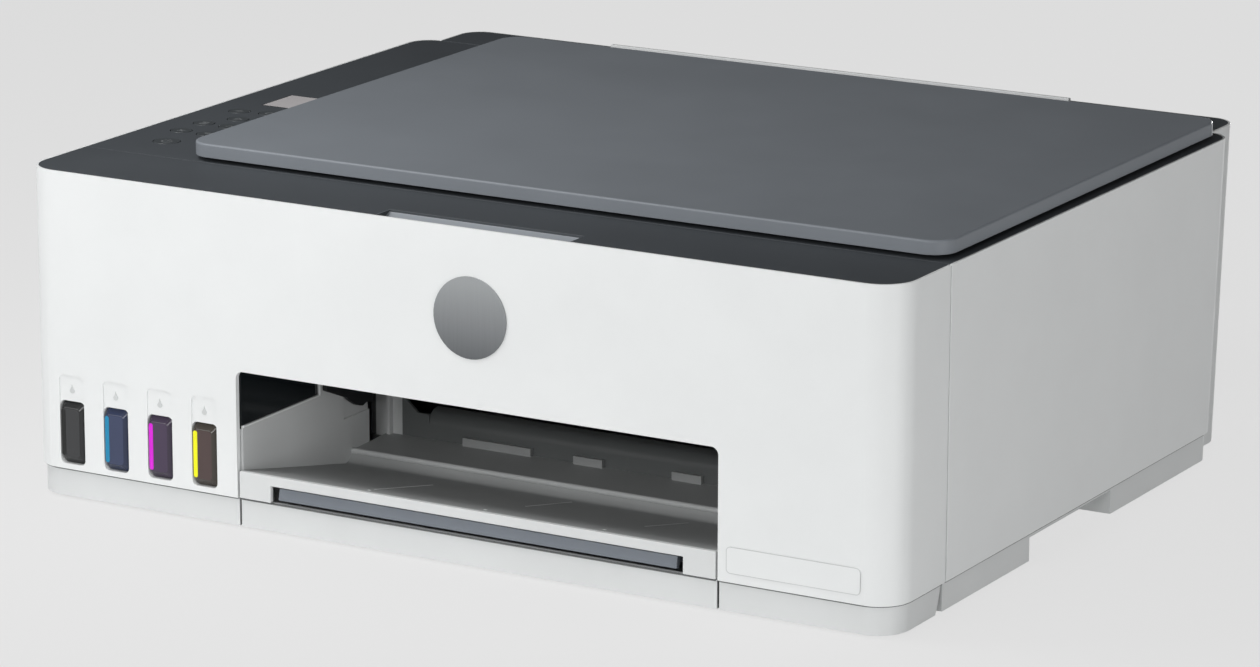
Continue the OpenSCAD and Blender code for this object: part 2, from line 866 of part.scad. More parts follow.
// Latch across the front of the carriage, turning down and forward on its own pins.
module head_latch() {
    y = latch_pivot[0];
    z = latch_pivot[1];
    color("#4f7fa8") place() {
        block([carriage_x0 + 9, y - 2, z], [carriage_x1 - 9, y + 1.5, z + 32]);
        rod_x(carriage_x0 + 8.4, carriage_x1 - 8.4, y, z, 2.5);
        rod_x(carriage_x0 + 2.5, carriage_x1 - 2.5, y, z, 1.5);
        block([carriage_x0 + 20, y - 5, z + 26], [carriage_x1 - 20, y - 2, z + 28]);
    }
}

module guide_rods() {
    color("silver") place() {
        rod_x(-chassis_x, chassis_x, rod_at[0], rod_at[1], rod_d / 2);
        rod_x(tub_x0 + tub_wall, tub_x1 - tub_wall, scan_rod_y, scan_rod_z, scan_rod_d / 2);
    }
}

// Sheet-metal frame behind the carriage, with its two end plates.
module chassis() {
    y = chassis_y;
    color("lightsteelblue") place() difference() {
        union() {
            block([-chassis_x, y, 60], [chassis_x, y + chassis_t, chassis_top]);
            block([-chassis_x, y - 10, chassis_top - chassis_t], [chassis_x, y + 1, chassis_top]);
            block([-chassis_x, y - 10, 103.5], [chassis_x, y - 8.2, chassis_top]);
            for (x = [-190, 150])
                block([x, y, floor_t], [x + 40, y + chassis_t, 61]);
            for (x = [-chassis_x, chassis_x - chassis_t])
                block([x, 120, trim_h], [x + chassis_t, y + 1, chassis_top]);
            rod_y(-pulley_x, belt_y[0] - 3, y + 1, pulley_z, 2);
        }
        rod_x(-body_w, body_w, rod_at[0], rod_at[1], rod_d / 2);
        rod_y(pulley_x, y - 1, y + 3, pulley_z, 3);
        for (at = [feed_at, output_at])
            rod_x(-body_w, 0, at[0], at[1], roller_shaft_r + run_fit);
    }
}

// Outline of the loop that the belt makes round its two pulleys.
module belt_outline(r) {
    for (x = [-pulley_x, pulley_x])
        translate([x, pulley_z]) circle(r);
    translate([-pulley_x, pulley_z - r]) square([2 * pulley_x, 2 * r]);
}

module carriage_belt() {
    color("#18191a") place() upright(belt_y[0], belt_y[1]) difference() {
        belt_outline(pulley_r + 0.1 + belt_t);
        belt_outline(pulley_r + 0.1);
    }
}

// Flanged pulley for the belt, centred on x = 0.
module belt_pulley() {
    rod_y(0, belt_y[0] - 0.2, belt_y[1] + 0.2, pulley_z, pulley_r);
    rod_y(0, belt_y[0] - 1.2, belt_y[0] - 0.2, pulley_z, pulley_r + 2);
    rod_y(0, belt_y[1] + 0.2, belt_y[1] + 1.2, pulley_z, pulley_r + 2);
}

module motor_pulley() {
    color("#c8c8c8") place() translate([pulley_x, 0, 0]) {
        belt_pulley();
        rod_y(0, belt_y[1], chassis_y + 6, pulley_z, motor_shaft_r);
        difference() {
            rod_y(0, belt_y[0] - 2.4, belt_y[0] - 1.2, pulley_z, 4);
            translate([-3, belt_y[0] - 3, pulley_z - 0.4]) cube([6, 1.2, 0.8]);
        }
    }
}

module idler_pulley() {
    color("#d8d8d8") place() translate([-pulley_x, 0, 0]) difference() {
        belt_pulley();
        rod_y(0, 0, chassis_y, pulley_z, 2 + run_fit);
    }
}

// Carriage motor behind the chassis and feed motor beside the gears.
module drive_motors() {
    back = chassis_y + chassis_t;
    color("#8f9498") place() {
        difference() {
            translate([pulley_x, 0, 0]) {
                rod_y(0, back, back + motor_l, pulley_z, motor_r);
                rod_y(0, back + motor_l, back + motor_l + 2, pulley_z, 4);
            }
            rod_y(pulley_x, back - 1, back + 5, pulley_z, motor_shaft_r + run_fit);
        }
        difference() {
            rod_x(gear_x1 + 3, gear_x1 + 30, drive_at[0], drive_at[1], motor_r);
            rod_x(gear_x1, gear_x1 + 10, drive_at[0], drive_at[1], motor_shaft_r + run_fit);
        }
        block([gear_x1 + 6, drive_at[0] - 10, floor_t],
              [gear_x1 + 26, drive_at[0] + 10, drive_at[1] - 10]);
    }
}

// Parking station: tub with two caps and a wiper below the parked carriage.
module service_station() {
    color("#6d7073") place() {
        difference() {
            block([station_x[0], station_y[0], floor_t], [station_x[1], station_y[1], station_z]);
            block([station_x[0] + station_skin, station_y[0] + station_skin, 30],
                  [station_x[1] - station_skin, station_y[1] - station_skin, station_z + 1]);
        }
        for (x = head_x)
            difference() {
                block([x + 3, 152, 29], [x + head_w - 3, 182, cap_face_z]);
                block([x + 5, 154, cap_face_z - 2.8], [x + head_w - 5, 180, cap_face_z + 0.2]);
            }
        block([167.4, 148, 29], [168.6, 190, cap_face_z]);
    }
}

// ---- Paper path ----

// Ribbed bed below the carriage, between two cheeks that carry the rollers, with the curved exit guide.
module platen() {
    y0 = output_at[0] + 9;
    y1 = feed_at[0] - 9;
    color("#3a3d40") place() difference() {
        union() {
            block([cheek_x[0] + 1, y0, platen_z - 4.5], [cheek_x[1] + 1, y1, platen_z - 2]);
            for (x = [-92 : rib_pitch : 120])
                block([x, y0, platen_z - 3], [x + rib_w, y1, platen_z]);
            for (x = cheek_x)
                block([x, 122, floor_t], [x + cheek_t, feed_at[0] + 9, platen_z - 0.5]);
            block([cheek_x[0] + 1, exit_y, 8], [guide_x0 + 1, exit_y + 4, 12]);
            across(guide_x0, cheek_x[1] + 1) translate([exit_y, 0]) exit_guide_outline();
            upright(exit_y, exit_y + 1.6) translate([guide_x0 - 14, 0])
                polygon([[0, 8], [0, 32], [2, 31], [8.2, 25.4], [14.2, 25.4], [14.2, 8]]);
        }
        for (at = [feed_at, output_at])
            rod_x(-body_w, body_w, at[0], at[1], roller_shaft_r + run_fit);
    }
}

// Front face of the paper exit: upright at its foot, then curving back under the rollers.
module exit_guide_outline() {
    polygon([[0, 8], [0, 20.1], [0.9, 23], [2.5, 25.6], [4.5, 26.9], [8, 27.6],
             [8, 26], [5.1, 25.3], [3.7, 24.2], [2.3, 22.2], [1.6, 19.9], [1.6, 8]]);
}

// Shaft, rubber sleeves and driven gear, round the line through at.
module paper_roller(at, turn, sleeves) {
    rod_x(-chassis_x, cheek_x[1] + cheek_t + 2, at[0], at[1], roller_shaft_r);
    for (s = sleeves)
        rod_x(s[0], s[1], at[0], at[1], sleeve_r);
    across(gear_x0, gear_x1) translate(at) gear_outline(roller_teeth, turn);
}

module feed_roller() {
    color("#2e2e2e") place() paper_roller(feed_at, feed_turn, [[-96, 125]]);
}

module output_roller() {
    color("#2e2e2e") place()
        paper_roller(output_at, output_turn, [for (x = [-90 : 36 : 100]) [x, x + 16]]);
}

module drive_gear() {
    color("ivory") place() {
        across(gear_x0, gear_x1) translate(drive_at) gear_outline(drive_teeth, 0);
        rod_x(gear_x0, gear_x1 + 9, drive_at[0], drive_at[1], motor_shaft_r);
    }
}

module pickup_roller() {
    color("#3b3b3b") place() {
        rod_x(path_x - 24, path_x + 24, pickup_at[0], pickup_at[1], pickup_shaft_r);
        rod_x(path_x - 15, path_x + 15, pickup_at[0], pickup_at[1], pickup_r);
    }
}

// Guide that takes the sheet down from the rear slot and forward to the feed roller.
module rear_chute() {
    x0 = support_x[0] + 1;
    x1 = support_x[1] - 1;
    back_z = -60;
    turn_y = slot_y + back_z * sin(rear_lean);
    turn_z = shell_h + back_z * cos(rear_lean);
    color("#4a4d50") place() difference() {
        union() {
            leaned(slot_y, back_z, -deck_t - 0.2) translate([x0, -2]) square([x1 - x0, 2]);
            across(x0, x1)
                polygon([[turn_y - 2, turn_z], [turn_y, turn_z], [turn_y - 5, 72], [318, 52], [290, 45],
                         [feed_at[0] + 9, 42], [feed_at[0] + 9, 44], [290, 47], [316.5, 54], [332, 73]]);
            for (x = [x0, x1 - 2]) {
                block([x, feed_at[0] + 12, floor_t], [x + 2, feed_at[0] + 16, 44]);
                block([x, 252, floor_t], [x + 2, 258, 44.5]);
            }
            for (x = arm_x)
                pickup_arm(x);
        }
        for (x = arm_x)
            rod_x(x - 1, x + arm_t + 1, pickup_at[0], pickup_at[1], pickup_shaft_r + run_fit);
        leaned(slot_y, -50.5, -45.5) translate([guide_x + 4, -3]) square([guide_travel + 10, 4]);
    }
}

// Arm up from the chute's floor that carries the pick-up roller's shaft.
module pickup_arm(x) {
    across(x, x + arm_t) {
        translate(pickup_at) circle(7);
        polygon([[300, 48.5], [311, 51.5], [328, 82], [316, 86]]);
    }
}

// Sheet support: slides up out of the rear slot.
module paper_support() {
    color("#c6c9ca") place() difference() {
        leaned(slot_y, -support_l + support_rise, support_rise)
            translate([support_x[0], 0.5]) square([support_x[1] - support_x[0], 2.4]);
        leaned(slot_y, -support_l + 20, -20)
            translate([path_x - 40, 1.9]) square([80, 2]);
    }
}

// Cover of the rear slot, turning up on pins at its front edge.
module shield_flap() {
    color("#3a3e41") place() {
        block([flap_x[0], flap_y, shell_h - 1.8], [flap_x[1], slot_y - 0.6, shell_h - 0.1]);
        rod_x(flap_x[0] - 8, flap_x[1] + 8, flap_y + 0.4, flap_z, 0.8);
    }
}

// Sliding guide for the sheet's edge, with a tongue through the chute.
module width_guide() {
    color("#5b5f62") place() {
        leaned(slot_y, -62, -7) translate([guide_x, -9]) square([2.4, 6.6]);
        leaned(slot_y, -57, -39) translate([guide_x, -4.2]) square([18, 1.8]);
        leaned(slot_y, -50.2, -45.8) translate([guide_x + 5, -3]) square([7, 3.1]);
    }
}

// ---- Electronics, feet and screws ----

// Main board over the base and key board under the control strip.
module circuit_boards() {
    usb = usb_box;
    color("#2f6b45") place() {
        block([board_at[0][0], board_at[0][1], board_z], [board_at[1][0], board_at[1][1], usb[0][2]]);
        for (p = board_post)
            rod_z(p[0], p[1], floor_t, board_z, 2.5);
        block([-112, 275, usb[0][2]], [-92, 295, usb[0][2] + 3]);
        block([-80, 280, usb[0][2]], [-66, 300, usb[0][2] + 2.5]);
        difference() {
            block(usb[0], usb[1]);
            block(usb[0] + [1.5, 5, 1.5], usb[1] + [-1.5, 1, -1.5]);
        }
        block([-210, 62, key_board_z], [-172, 190, key_board_z + 1.6]);
    }
}

// Power module with its inlet socket through the rear cover.
module power_unit() {
    inlet = inlet_box;
    color("#222426") place() difference() {
        union() {
            block([-196, 262, floor_t], [-148, inlet[0][1], 40]);
            block(inlet[0], inlet[1]);
        }
        block(inlet[0] + [2, 2, 2], inlet[1] + [-2, 1, -2]);
    }
}

module feet() {
    color("#3c3c3c") translate([0, front_y, 0])
        for (x = [-foot_x, foot_x], y = foot_y)
            translate([x, y, 0]) cylinder(r = foot_r, h = foot_h);
}

// Pan-head screws that hold the chassis, the hinges and the chute.
module screws() {
    color("silver") place() {
        for (x = [-180, -160, 160, 180])
            rod_y(x, chassis_y - 1.8, chassis_y, 20, 3);
        for (x = hinge_x)
            rod_z(x, hinge_y - 9, shell_h + 1.2, shell_h + 1.9, 2.5);
        for (p = board_post)
            rod_z(p[0], p[1], usb_box[0][2], usb_box[0][2] + 1.6, 2.5);
    }
}

base_pan();
left_side_panel();
right_side_panel();
rear_cover();
rear_deck();
scanner_deck();
display_window();
door_shell();
door_top_strip();
door_trims();
scanner_lid();
lid_pad();
lid_hinges();
power_key();
small_key(1);  // key_1
small_key(2);  // key_2
small_key(3);  // key_3
small_key(4);  // key_4
small_key(5);  // key_5
small_key(6);  // key_6
small_key(7);  // key_7
circuit_boards();
ink_tanks();
tank_windows();
cap_black();
cap_cyan();
cap_magenta();
cap_yellow();
ink_tubes();
bay_liner();
bay_window();
output_tray();
tray_front();
tray_extender();
tray_extension();
carriage();
printheads();
head_latch();
guide_rods();
chassis();
carriage_belt();
motor_pulley();
idler_pulley();
service_station();
drive_motors();
scan_glass();
scanner_tub();
scan_bar();
paper_support();
shield_flap();
rear_chute();
platen();
feed_roller();
output_roller();
drive_gear();
pickup_roller();
width_guide();
power_unit();
feet();
screws();
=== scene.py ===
import json
import math

import bmesh
import bpy
from bpy.props import BoolProperty, FloatProperty, FloatVectorProperty, PointerProperty
from mathutils import Matrix, Vector


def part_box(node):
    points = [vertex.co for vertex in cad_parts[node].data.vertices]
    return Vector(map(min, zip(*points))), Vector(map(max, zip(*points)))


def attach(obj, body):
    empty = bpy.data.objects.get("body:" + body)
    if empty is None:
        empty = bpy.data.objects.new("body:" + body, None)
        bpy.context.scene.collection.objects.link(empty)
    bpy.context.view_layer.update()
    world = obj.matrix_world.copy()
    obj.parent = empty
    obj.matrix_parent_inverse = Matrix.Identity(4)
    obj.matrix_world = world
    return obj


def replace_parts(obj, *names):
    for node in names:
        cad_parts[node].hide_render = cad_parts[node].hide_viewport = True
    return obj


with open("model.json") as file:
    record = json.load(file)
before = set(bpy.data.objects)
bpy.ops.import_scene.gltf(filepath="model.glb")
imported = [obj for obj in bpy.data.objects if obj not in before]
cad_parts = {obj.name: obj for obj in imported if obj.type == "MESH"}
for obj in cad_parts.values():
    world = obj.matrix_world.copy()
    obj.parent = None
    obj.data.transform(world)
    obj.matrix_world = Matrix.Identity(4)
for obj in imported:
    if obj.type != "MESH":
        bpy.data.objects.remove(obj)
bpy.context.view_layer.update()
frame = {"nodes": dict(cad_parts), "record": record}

bl_info = {
    "name": "Ink tank printer",
    "version": (1, 0, 0),
    "blender": (4, 5, 0),
    "location": "3D View > Sidebar > Printer",
    "description": "Dresses the packed frame of a desktop printer with surfaces and materials",
    "category": "Object",
}

MM = 0.001
# The pieces are placed in mm from the front face, the middle and the shell's underside.
FRONT_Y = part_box("tray_front")[0][1]
SHELL_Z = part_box("feet")[1][2]
HALF_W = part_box("right_side_panel")[1][0] / MM
# Middle of the round badge across and up, and its radius.
BADGE_X, BADGE_Z, BADGE_R = 14.65, 110.0, 18.0


def linear(code):
    """sRGB hex colour as linear red, green and blue."""
    parts = [int(code[i:i + 2], 16) / 255 for i in (1, 3, 5)]
    return tuple(p / 12.92 if p <= 0.04045 else ((p + 0.055) / 1.055) ** 2.4 for p in parts)


def spot(x, y, z):
    """The point at x, y and z mm from the middle, the front face and the shell's underside."""
    return Vector((x * MM, FRONT_Y + y * MM, SHELL_Z + z * MM))


def shell_mm(point):
    """The mm from the middle, the front face and the shell's underside to a point."""
    return Vector((point[0] / MM, (point[1] - FRONT_Y) / MM, (point[2] - SHELL_Z) / MM))


# ---- Settings shown in the panel ----

class PrinterSettings(bpy.types.PropertyGroup):
    """Sizes and colours of the printer's visible surfaces."""

    edge_scale: FloatProperty(
        name="Edge rounding", description="Scales the rounding of every moulded edge",
        default=1.0, min=0.3, max=1.2, subtype="FACTOR")
    ink_level: FloatProperty(
        name="Ink level", description="How full the four tanks are",
        default=0.8, min=0.1, max=0.95, subtype="FACTOR")
    grain_size: FloatProperty(
        name="Grain size", description="Size of the grains in the spark-eroded mould texture",
        default=0.0011, min=0.0004, max=0.005, subtype="DISTANCE", unit="LENGTH", precision=4)
    show_marks: BoolProperty(
        name="Key marks", description="Print plain line marks on the keys", default=True)
    casing_white: FloatVectorProperty(
        name="Casing", description="White moulded casing", default=linear("#eceeee"),
        min=0.0, max=1.0, size=3, subtype="COLOR")
    deck_grey: FloatVectorProperty(
        name="Deck", description="Dark frame round the lid", default=linear("#484c50"),
        min=0.0, max=1.0, size=3, subtype="COLOR")
    lid_grey: FloatVectorProperty(
        name="Lid", description="Slate grey scanner lid", default=linear("#80858b"),
        min=0.0, max=1.0, size=3, subtype="COLOR")
    camera_lens: FloatProperty(
        name="Lens", description="Focal length of the camera", default=0.1515,
        min=0.02, max=0.5, subtype="DISTANCE_CAMERA", unit="CAMERA")


def settings():
    """The scene's printer settings."""
    return bpy.context.scene.printer_settings


# ---- Materials ----

def add_node(owner, kind, sockets=None, **properties):
    """Adds a node; each socket takes a value or another node's output, linked."""
    node = owner.node_tree.nodes.new(kind)
    for name, value in properties.items():
        setattr(node, name, value)
    for name, value in (sockets or {}).items():
        if isinstance(value, bpy.types.NodeSocket):
            owner.node_tree.links.new(value, node.inputs[name])
        else:
            node.inputs[name].default_value = value
    return node


def emptied(owner):
    """A material or world with an empty node tree."""
    owner.use_nodes = True
    owner.node_tree.nodes.clear()
    return owner


def new_material(name):
    """An empty node material with its surface node and its output."""
    material = emptied(bpy.data.materials.new(name))
    surface = add_node(material, "ShaderNodeBsdfPrincipled")
    add_node(material, "ShaderNodeOutputMaterial", {"Surface": surface.outputs["BSDF"]})
    return material, surface


def link(material, output, node, socket):
    """Links a socket that is named after its node was made."""
    material.node_tree.links.new(output, node.inputs[socket])


def set_values(node, values):
    """Sets plain values on a node's own sockets."""
    for socket, value in values.items():
        node.inputs[socket].default_value = value


def noise(owner, place, scale, **values):
    """Noise from 0 to 1, its scale in grains a metre."""
    return add_node(owner, "ShaderNodeTexNoise", {
        "Vector": place, "Scale": scale, **values}).outputs["Fac"]


def object_place(owner):
    """The place on a piece, in metres."""
    return add_node(owner, "ShaderNodeTexCoord").outputs["Object"]


def ramp(owner, level, low, high, start=0.0, end=1.0):
    """A colour that runs from low to high as the level goes from start to end."""
    node = add_node(owner, "ShaderNodeValToRGB", {"Fac": level})
    for stop, place, colour in zip(node.color_ramp.elements, (start, end), (low, high)):
        stop.position = place
        stop.color = tuple(colour) + (1.0,)
    return node.outputs["Color"]


def add_gloss(material, surface, level, roughness, spread):
    """Lets the roughness drift by a spread to each side as the level goes from 0 to 1."""
    gloss = add_node(material, "ShaderNodeMapRange", {
        "Value": level, "To Min": roughness - spread, "To Max": roughness + spread})
    link(material, gloss.outputs["Result"], surface, "Roughness")


def add_bump(material, surface, height, strength, depth):
    """Raises the surface by a height texture; the depth is in metres."""
    bump = add_node(material, "ShaderNodeBump", {
        "Height": height, "Strength": strength, "Distance": depth})
    link(material, bump.outputs["Normal"], surface, "Normal")


# Size of the faint clouds in a moulding's colour and gloss, in metres.
CLOUD_SIZE = 0.045


def moulded(name, colour, roughness, grain=None, depth=0.00002, tint=0.05, coat=0.0,
            shine=0.5, more=None):
    """Injection-moulded plastic: fine mould grain, faint cloudiness in colour and gloss."""
    material, surface = new_material(name)
    place = object_place(material)
    clouds = noise(material, place, 1 / CLOUD_SIZE, Detail=3.0, Roughness=0.55)
    dark = [c * (1 - tint) for c in colour]
    light = [min(c * (1 + tint / 2), 1.0) for c in colour]
    link(material, ramp(material, clouds, dark, light, 0.3, 0.7), surface, "Base Color")
    add_gloss(material, surface, clouds, roughness, 0.03)
    set_values(surface, {"IOR": 1.52, "Coat Weight": coat, "Specular IOR Level": shine})
    grains = noise(material, place, 1 / (grain or settings().grain_size), Detail=2.0)
    add_bump(material, surface, grains, 0.35, depth)
    set_values(surface, more or {})
    return material


def metal(name, colour, roughness, scratch=0.0004, stretch=(1.0, 1.0, 1.0), depth=0.00001):
    """Bare metal with a rolled, drawn or brushed surface, stretched along one axis."""
    material, surface = new_material(name)
    stretched = add_node(material, "ShaderNodeMapping", {
        "Vector": object_place(material), "Scale": stretch})
    lines = noise(material, stretched.outputs["Vector"], 1 / scratch, Detail=3.0)
    dark = [c * 0.86 for c in colour]
    link(material, ramp(material, lines, dark, colour, 0.25, 0.75), surface, "Base Color")
    add_gloss(material, surface, lines, roughness, 0.06)
    set_values(surface, {"Metallic": 1.0})
    add_bump(material, surface, lines, 0.3, depth)
    return material


def foil_disc_painted_reflection():
    """Satin metal foil of the plain round badge, with a painted reflection: light at its top and
    dark below.
    """
    material, surface = new_material("foil_satin_grey")
    place = object_place(material)
    height = add_node(material, "ShaderNodeSeparateXYZ", {"Vector": place}).outputs["Z"]
    low, high = BADGE_Z - BADGE_R, BADGE_Z + BADGE_R
    # Painted reflection: the colour runs from dark at the badge's bottom to light at its top.
    rise = add_node(material, "ShaderNodeMapRange", {
        "Value": height, "From Min": SHELL_Z + low * MM, "From Max": SHELL_Z + high * MM})
    fine = add_node(material, "ShaderNodeMapping", {"Vector": place, "Scale": (1.0, 1.0, 0.02)})
    lines = noise(material, fine.outputs["Vector"], 1 / (0.5 * MM), Detail=2.0)
    level = add_node(material, "ShaderNodeMath", {
        0: lines, 1: 0.12, 2: rise.outputs["Result"]}, operation="MULTIPLY_ADD").outputs[0]
    shade = ramp(material, level, linear("#5f6265"), linear("#a4a7a9"))
    link(material, shade, surface, "Base Color")
    set_values(surface, {"Metallic": 0.35, "Roughness": 0.32})
    add_bump(material, surface, lines, 0.2, 0.01 * MM)
    return material


def clear_sheet(name, scale, low, high, values):
    """A smooth sheet, its colour drifting slowly between two shades."""
    material, surface = new_material(name)
    drift = noise(material, object_place(material), scale)
    shade = ramp(material, drift, linear(low), linear(high))
    link(material, shade, surface, "Base Color")
    set_values(surface, values)
    return material


def scanner_glass():
    """Float glass of the scanner bed: clear, with a faint green from its iron."""
    # Flat glass lets light straight through, so an Alpha under 1 lights the bed below it evenly.
    return clear_sheet("float_glass", 6.0, "#dfeeea", "#eef7f4", {
        "Roughness": 0.02, "IOR": 1.52, "Transmission Weight": 0.92, "Alpha": 0.4})


def display_glass():
    """Unlit segment display behind its polished front: a milky grey."""
    return clear_sheet("lcd_unlit", 25.0, "#d4cfd0", "#e6e2e3", {
        "Roughness": 0.12, "IOR": 1.5, "Coat Weight": 0.5})


# Name, colour, roughness and moulded()'s other values by finish. A colour is a code or a setting.
MOULDED = {
    # White ABS from a finely eroded mould: satin, with a grain that softens every highlight.
    "white": ("abs_white_moulded", "casing_white", 0.42, {"tint": 0.02}),
    # Charcoal ABS of the deck: the same mould grain, less glossy.
    "charcoal": ("abs_charcoal_moulded", "deck_grey", 0.55, {"tint": 0.06, "shine": 0.25}),
    # Slate ABS of the lid: a smooth satin face that mirrors a broad light as a soft gradient.
    "slate": ("abs_slate_satin", "lid_grey", 0.45, {"tint": 0.04, "shine": 0.25}),
    # Light grey ABS of the lower trims and the rear cover.
    "grey": ("abs_light_grey", "#dcdede", 0.45, {"tint": 0.03}),
    # Satin ABS on the sloped faces where fingers lift the lid, a tone lighter as a painted
    # highlight for the light that slope catches.
    "recess": ("abs_slate_light", "#93989e", 0.4, {"tint": 0.04}),
    # Mid grey polystyrene of the output tray, matt so that sheets slide on it.
    "tray": ("polystyrene_grey_matt", "#acaeae", 0.55, {"tint": 0.05}),
    # Mid grey plastic of the exit guide, polished by the sheets on it; the same grey paints the
    # shadow line under the shell.
    "guide": ("abs_mid_grey", "#6b6e6e", 0.4, {"tint": 0.05}),
    # Pale grey ABS of the bay's walls: satin, so that the floor's light runs up it.
    "liner": ("abs_pale_grey", "#cfd1d1", 0.45, {"tint": 0.03}),
    # Blue-grey ABS of the tray's extender.
    "blue_grey": ("abs_blue_grey", "#757b83", 0.36, {"tint": 0.04}),
    # Black ABS of the inner frames, matt against stray light.
    "black": ("abs_black_matt", "#1c1e20", 0.55, {"grain": 0.0014, "depth": 0.000008, "tint": 0.1}),
    # Graphite ABS of the parts inside the paper path.
    "graphite": ("abs_graphite", "#3a3d40", 0.5, {"tint": 0.08}),
    # Keys: fine satin ABS, smoother than the deck round them.
    "key": ("abs_key_satin", "#43474a", 0.38, {"grain": 0.0016, "tint": 0.04}),
    # Blue acetal of the printhead latch: waxy, low in gloss.
    "latch": ("acetal_blue", "#4f7ea8", 0.42, {"tint": 0.05}),
    # Uncoloured acetal gears: off-white, waxy and slightly translucent.
    "pom": ("acetal_natural", "#e6e3da", 0.38, {
        "tint": 0.04, "more": {"Subsurface Weight": 0.15, "Subsurface Scale": 0.001}}),
    # Smoked polycarbonate: near black and polished, so that it mirrors what is round it.
    "smoked": ("polycarbonate_smoked", "#15191c", 0.09, {
        "grain": 0.02, "depth": 0.000005, "tint": 0.1}),
    # Natural polypropylene of the tanks: milky and see-through in thin walls.
    "tank": ("polypropylene_natural", "#dfe3e4", 0.3, {
        "grain": 0.003, "depth": 0.00001, "tint": 0.03, "more": {"Transmission Weight": 0.35}}),
    # Black nitrile rubber of the feet and the belt: dull and slightly mottled.
    "nitrile": ("nitrile_rubber_black", "#1f2021", 0.75, {
        "grain": 0.0015, "depth": 0.00005, "tint": 0.15}),
    # Grey EPDM of the rollers, ground to a fine matt surface.
    "epdm": ("epdm_grey_ground", "#3b3c3d", 0.8, {"grain": 0.0009, "depth": 0.00004, "tint": 0.12}),
    # White reflector sheet on foam: matt, with a faint open cell structure.
    "foam": ("polyurethane_foam_white", "#f0f0ee", 0.85, {
        "grain": 0.0018, "depth": 0.0001, "tint": 0.03}),
    # Green solder mask over fibreglass: glossy, with the copper tracks faintly raised.
    "mask": ("fibreglass_green_mask", "#1d5a34", 0.28, {
        "grain": 0.0025, "depth": 0.00006, "tint": 0.25}),
    # Light grey pad-printing ink of the key marks, slightly proud and satin.
    "print": ("pad_print_light_grey", "#797c7e", 0.5, {"grain": 0.0008, "tint": 0.03}),
}
# Name, colour, roughness and metal()'s other values by finish.
METALS = {
    # Zinc-coated sheet steel of the chassis: a soft spangle in a satin grey.
    "galvanised": ("steel_galvanised", "#b4b8bb", 0.38, {"scratch": 0.006}),
    # Ground steel rod: bright, with its marks drawn out along its length.
    "rod": ("steel_ground_rod", "#c9cbcd", 0.2, {"scratch": 0.0008, "stretch": (0.05, 1.0, 1.0)}),
    # Zinc-plated screws and pulleys.
    "plated": ("steel_zinc_plated", "#c2c4c6", 0.3, {"scratch": 0.0012}),
    # Gold-plated contacts of the printheads' circuits.
    "gold": ("gold_plating", "#d9b45c", 0.25, {"scratch": 0.001}),
}
OTHERS = {"badge": foil_disc_painted_reflection, "glass": scanner_glass, "display": display_glass}
# Face, chamfer, ink and cap colour of each tank's window, from left to right. The chamfer colour is
# the face's tint made darker: painted shade.
INKS = {
    "black": ("#323335", "#1c1d1f", "#0c0d0e", "#26282a"),
    "cyan": ("#333d5c", "#202b49", "#0b88b5", "#1592bd"),
    "magenta": ("#41324c", "#372b40", "#df14dd", "#c9208f"),
    "yellow": ("#4a3937", "#3c362f", "#fbfa05", "#e6d820"),
}
# Polished tinted polycarbonate: deep in colour, with a hard bright line on each edge.
TINTED = {"grain": 0.02, "depth": 0.000005, "tint": 0.1, "coat": 0.15}
# Coloured dye where the light comes through a tank's side: saturated and wet-looking.
DYE = {"grain": 0.004, "depth": 0.000005, "tint": 0.06}
# Soft caps and tubes: matt, with a soft bloom.
SOFT = {"grain": 0.002, "tint": 0.08, "more": {"Sheen Weight": 0.2}}
# Name, place of its colour in INKS, roughness and other values of a finish made in each ink.
INKED = {
    "lens": ("polycarbonate_tint_", 0, 0.2, TINTED),
    # The chamfer finish: the lens's own tint, darker as painted shade on the faces that slope back
    # into the door.
    "chamfer": ("polycarbonate_edge_", 1, 0.2, TINTED),
    "ink": ("dye_", 2, 0.35, DYE),
    "tube": ("pvc_tube_", 1, 0.6, SOFT),
    "cap": ("silicone_", 3, 0.6, SOFT),
}
MADE = {}


def make_finish(name):
    """Makes the material of a finish; "lens cyan" is the finish lens in the ink cyan."""
    part, _, ink = name.partition(" ")
    if ink:
        title, shade, roughness, values = INKED[part]
        return moulded(title + ink, linear(INKS[ink][shade]), roughness, **values)
    if name in OTHERS:
        return OTHERS[name]()
    maker, table = (metal, METALS) if name in METALS else (moulded, MOULDED)
    title, code, roughness, values = table[name]
    colour = linear(code) if code.startswith("#") else tuple(getattr(settings(), code))
    return maker(title, colour, roughness, **values)


def finish_of(name):
    """The material of a finish, made the first time that it is asked for."""
    if name not in MADE:
        MADE[name] = make_finish(name)
    return MADE[name]


# ---- Mesh tools ----

BODY_OF = {node: body for body, nodes in frame["record"]["behaviour"]["bodies"].items()
           for node in nodes}
# How squarely a face looks along an axis to count as the face on that side.
FACING = 0.9


def middle_of(face):
    """The middle of a face, in mm."""
    return shell_mm(face.calc_center_median())


def paint(shape, rule):
    """Gives each face the finish that a rule picks, by its number."""
    for face in shape.faces:
        face.material_index = rule(face)


def scale_all(shape, vec):
    """Scales a whole shape about the origin."""
    bmesh.ops.scale(shape, vec=vec, verts=shape.verts)


def move_all(shape, matrix):
    """Moves and turns a whole shape."""
    bmesh.ops.transform(shape, matrix=matrix, verts=shape.verts)


def new_cube(size=1.0):
    """A cube round the origin."""
    shape = bmesh.new()
    bmesh.ops.create_cube(shape, size=size)
    return shape


def raise_faces(shape, faces, move):
    """Pushes faces out by a vector, with walls behind them."""
    raised = bmesh.ops.extrude_face_region(shape, geom=faces)["geom"]
    bmesh.ops.translate(shape, vec=move,
                        verts=[item for item in raised if isinstance(item, bmesh.types.BMVert)])


def outward(shape):
    """Turns every face of a closed shape outward."""
    bmesh.ops.recalc_face_normals(shape, faces=shape.faces)


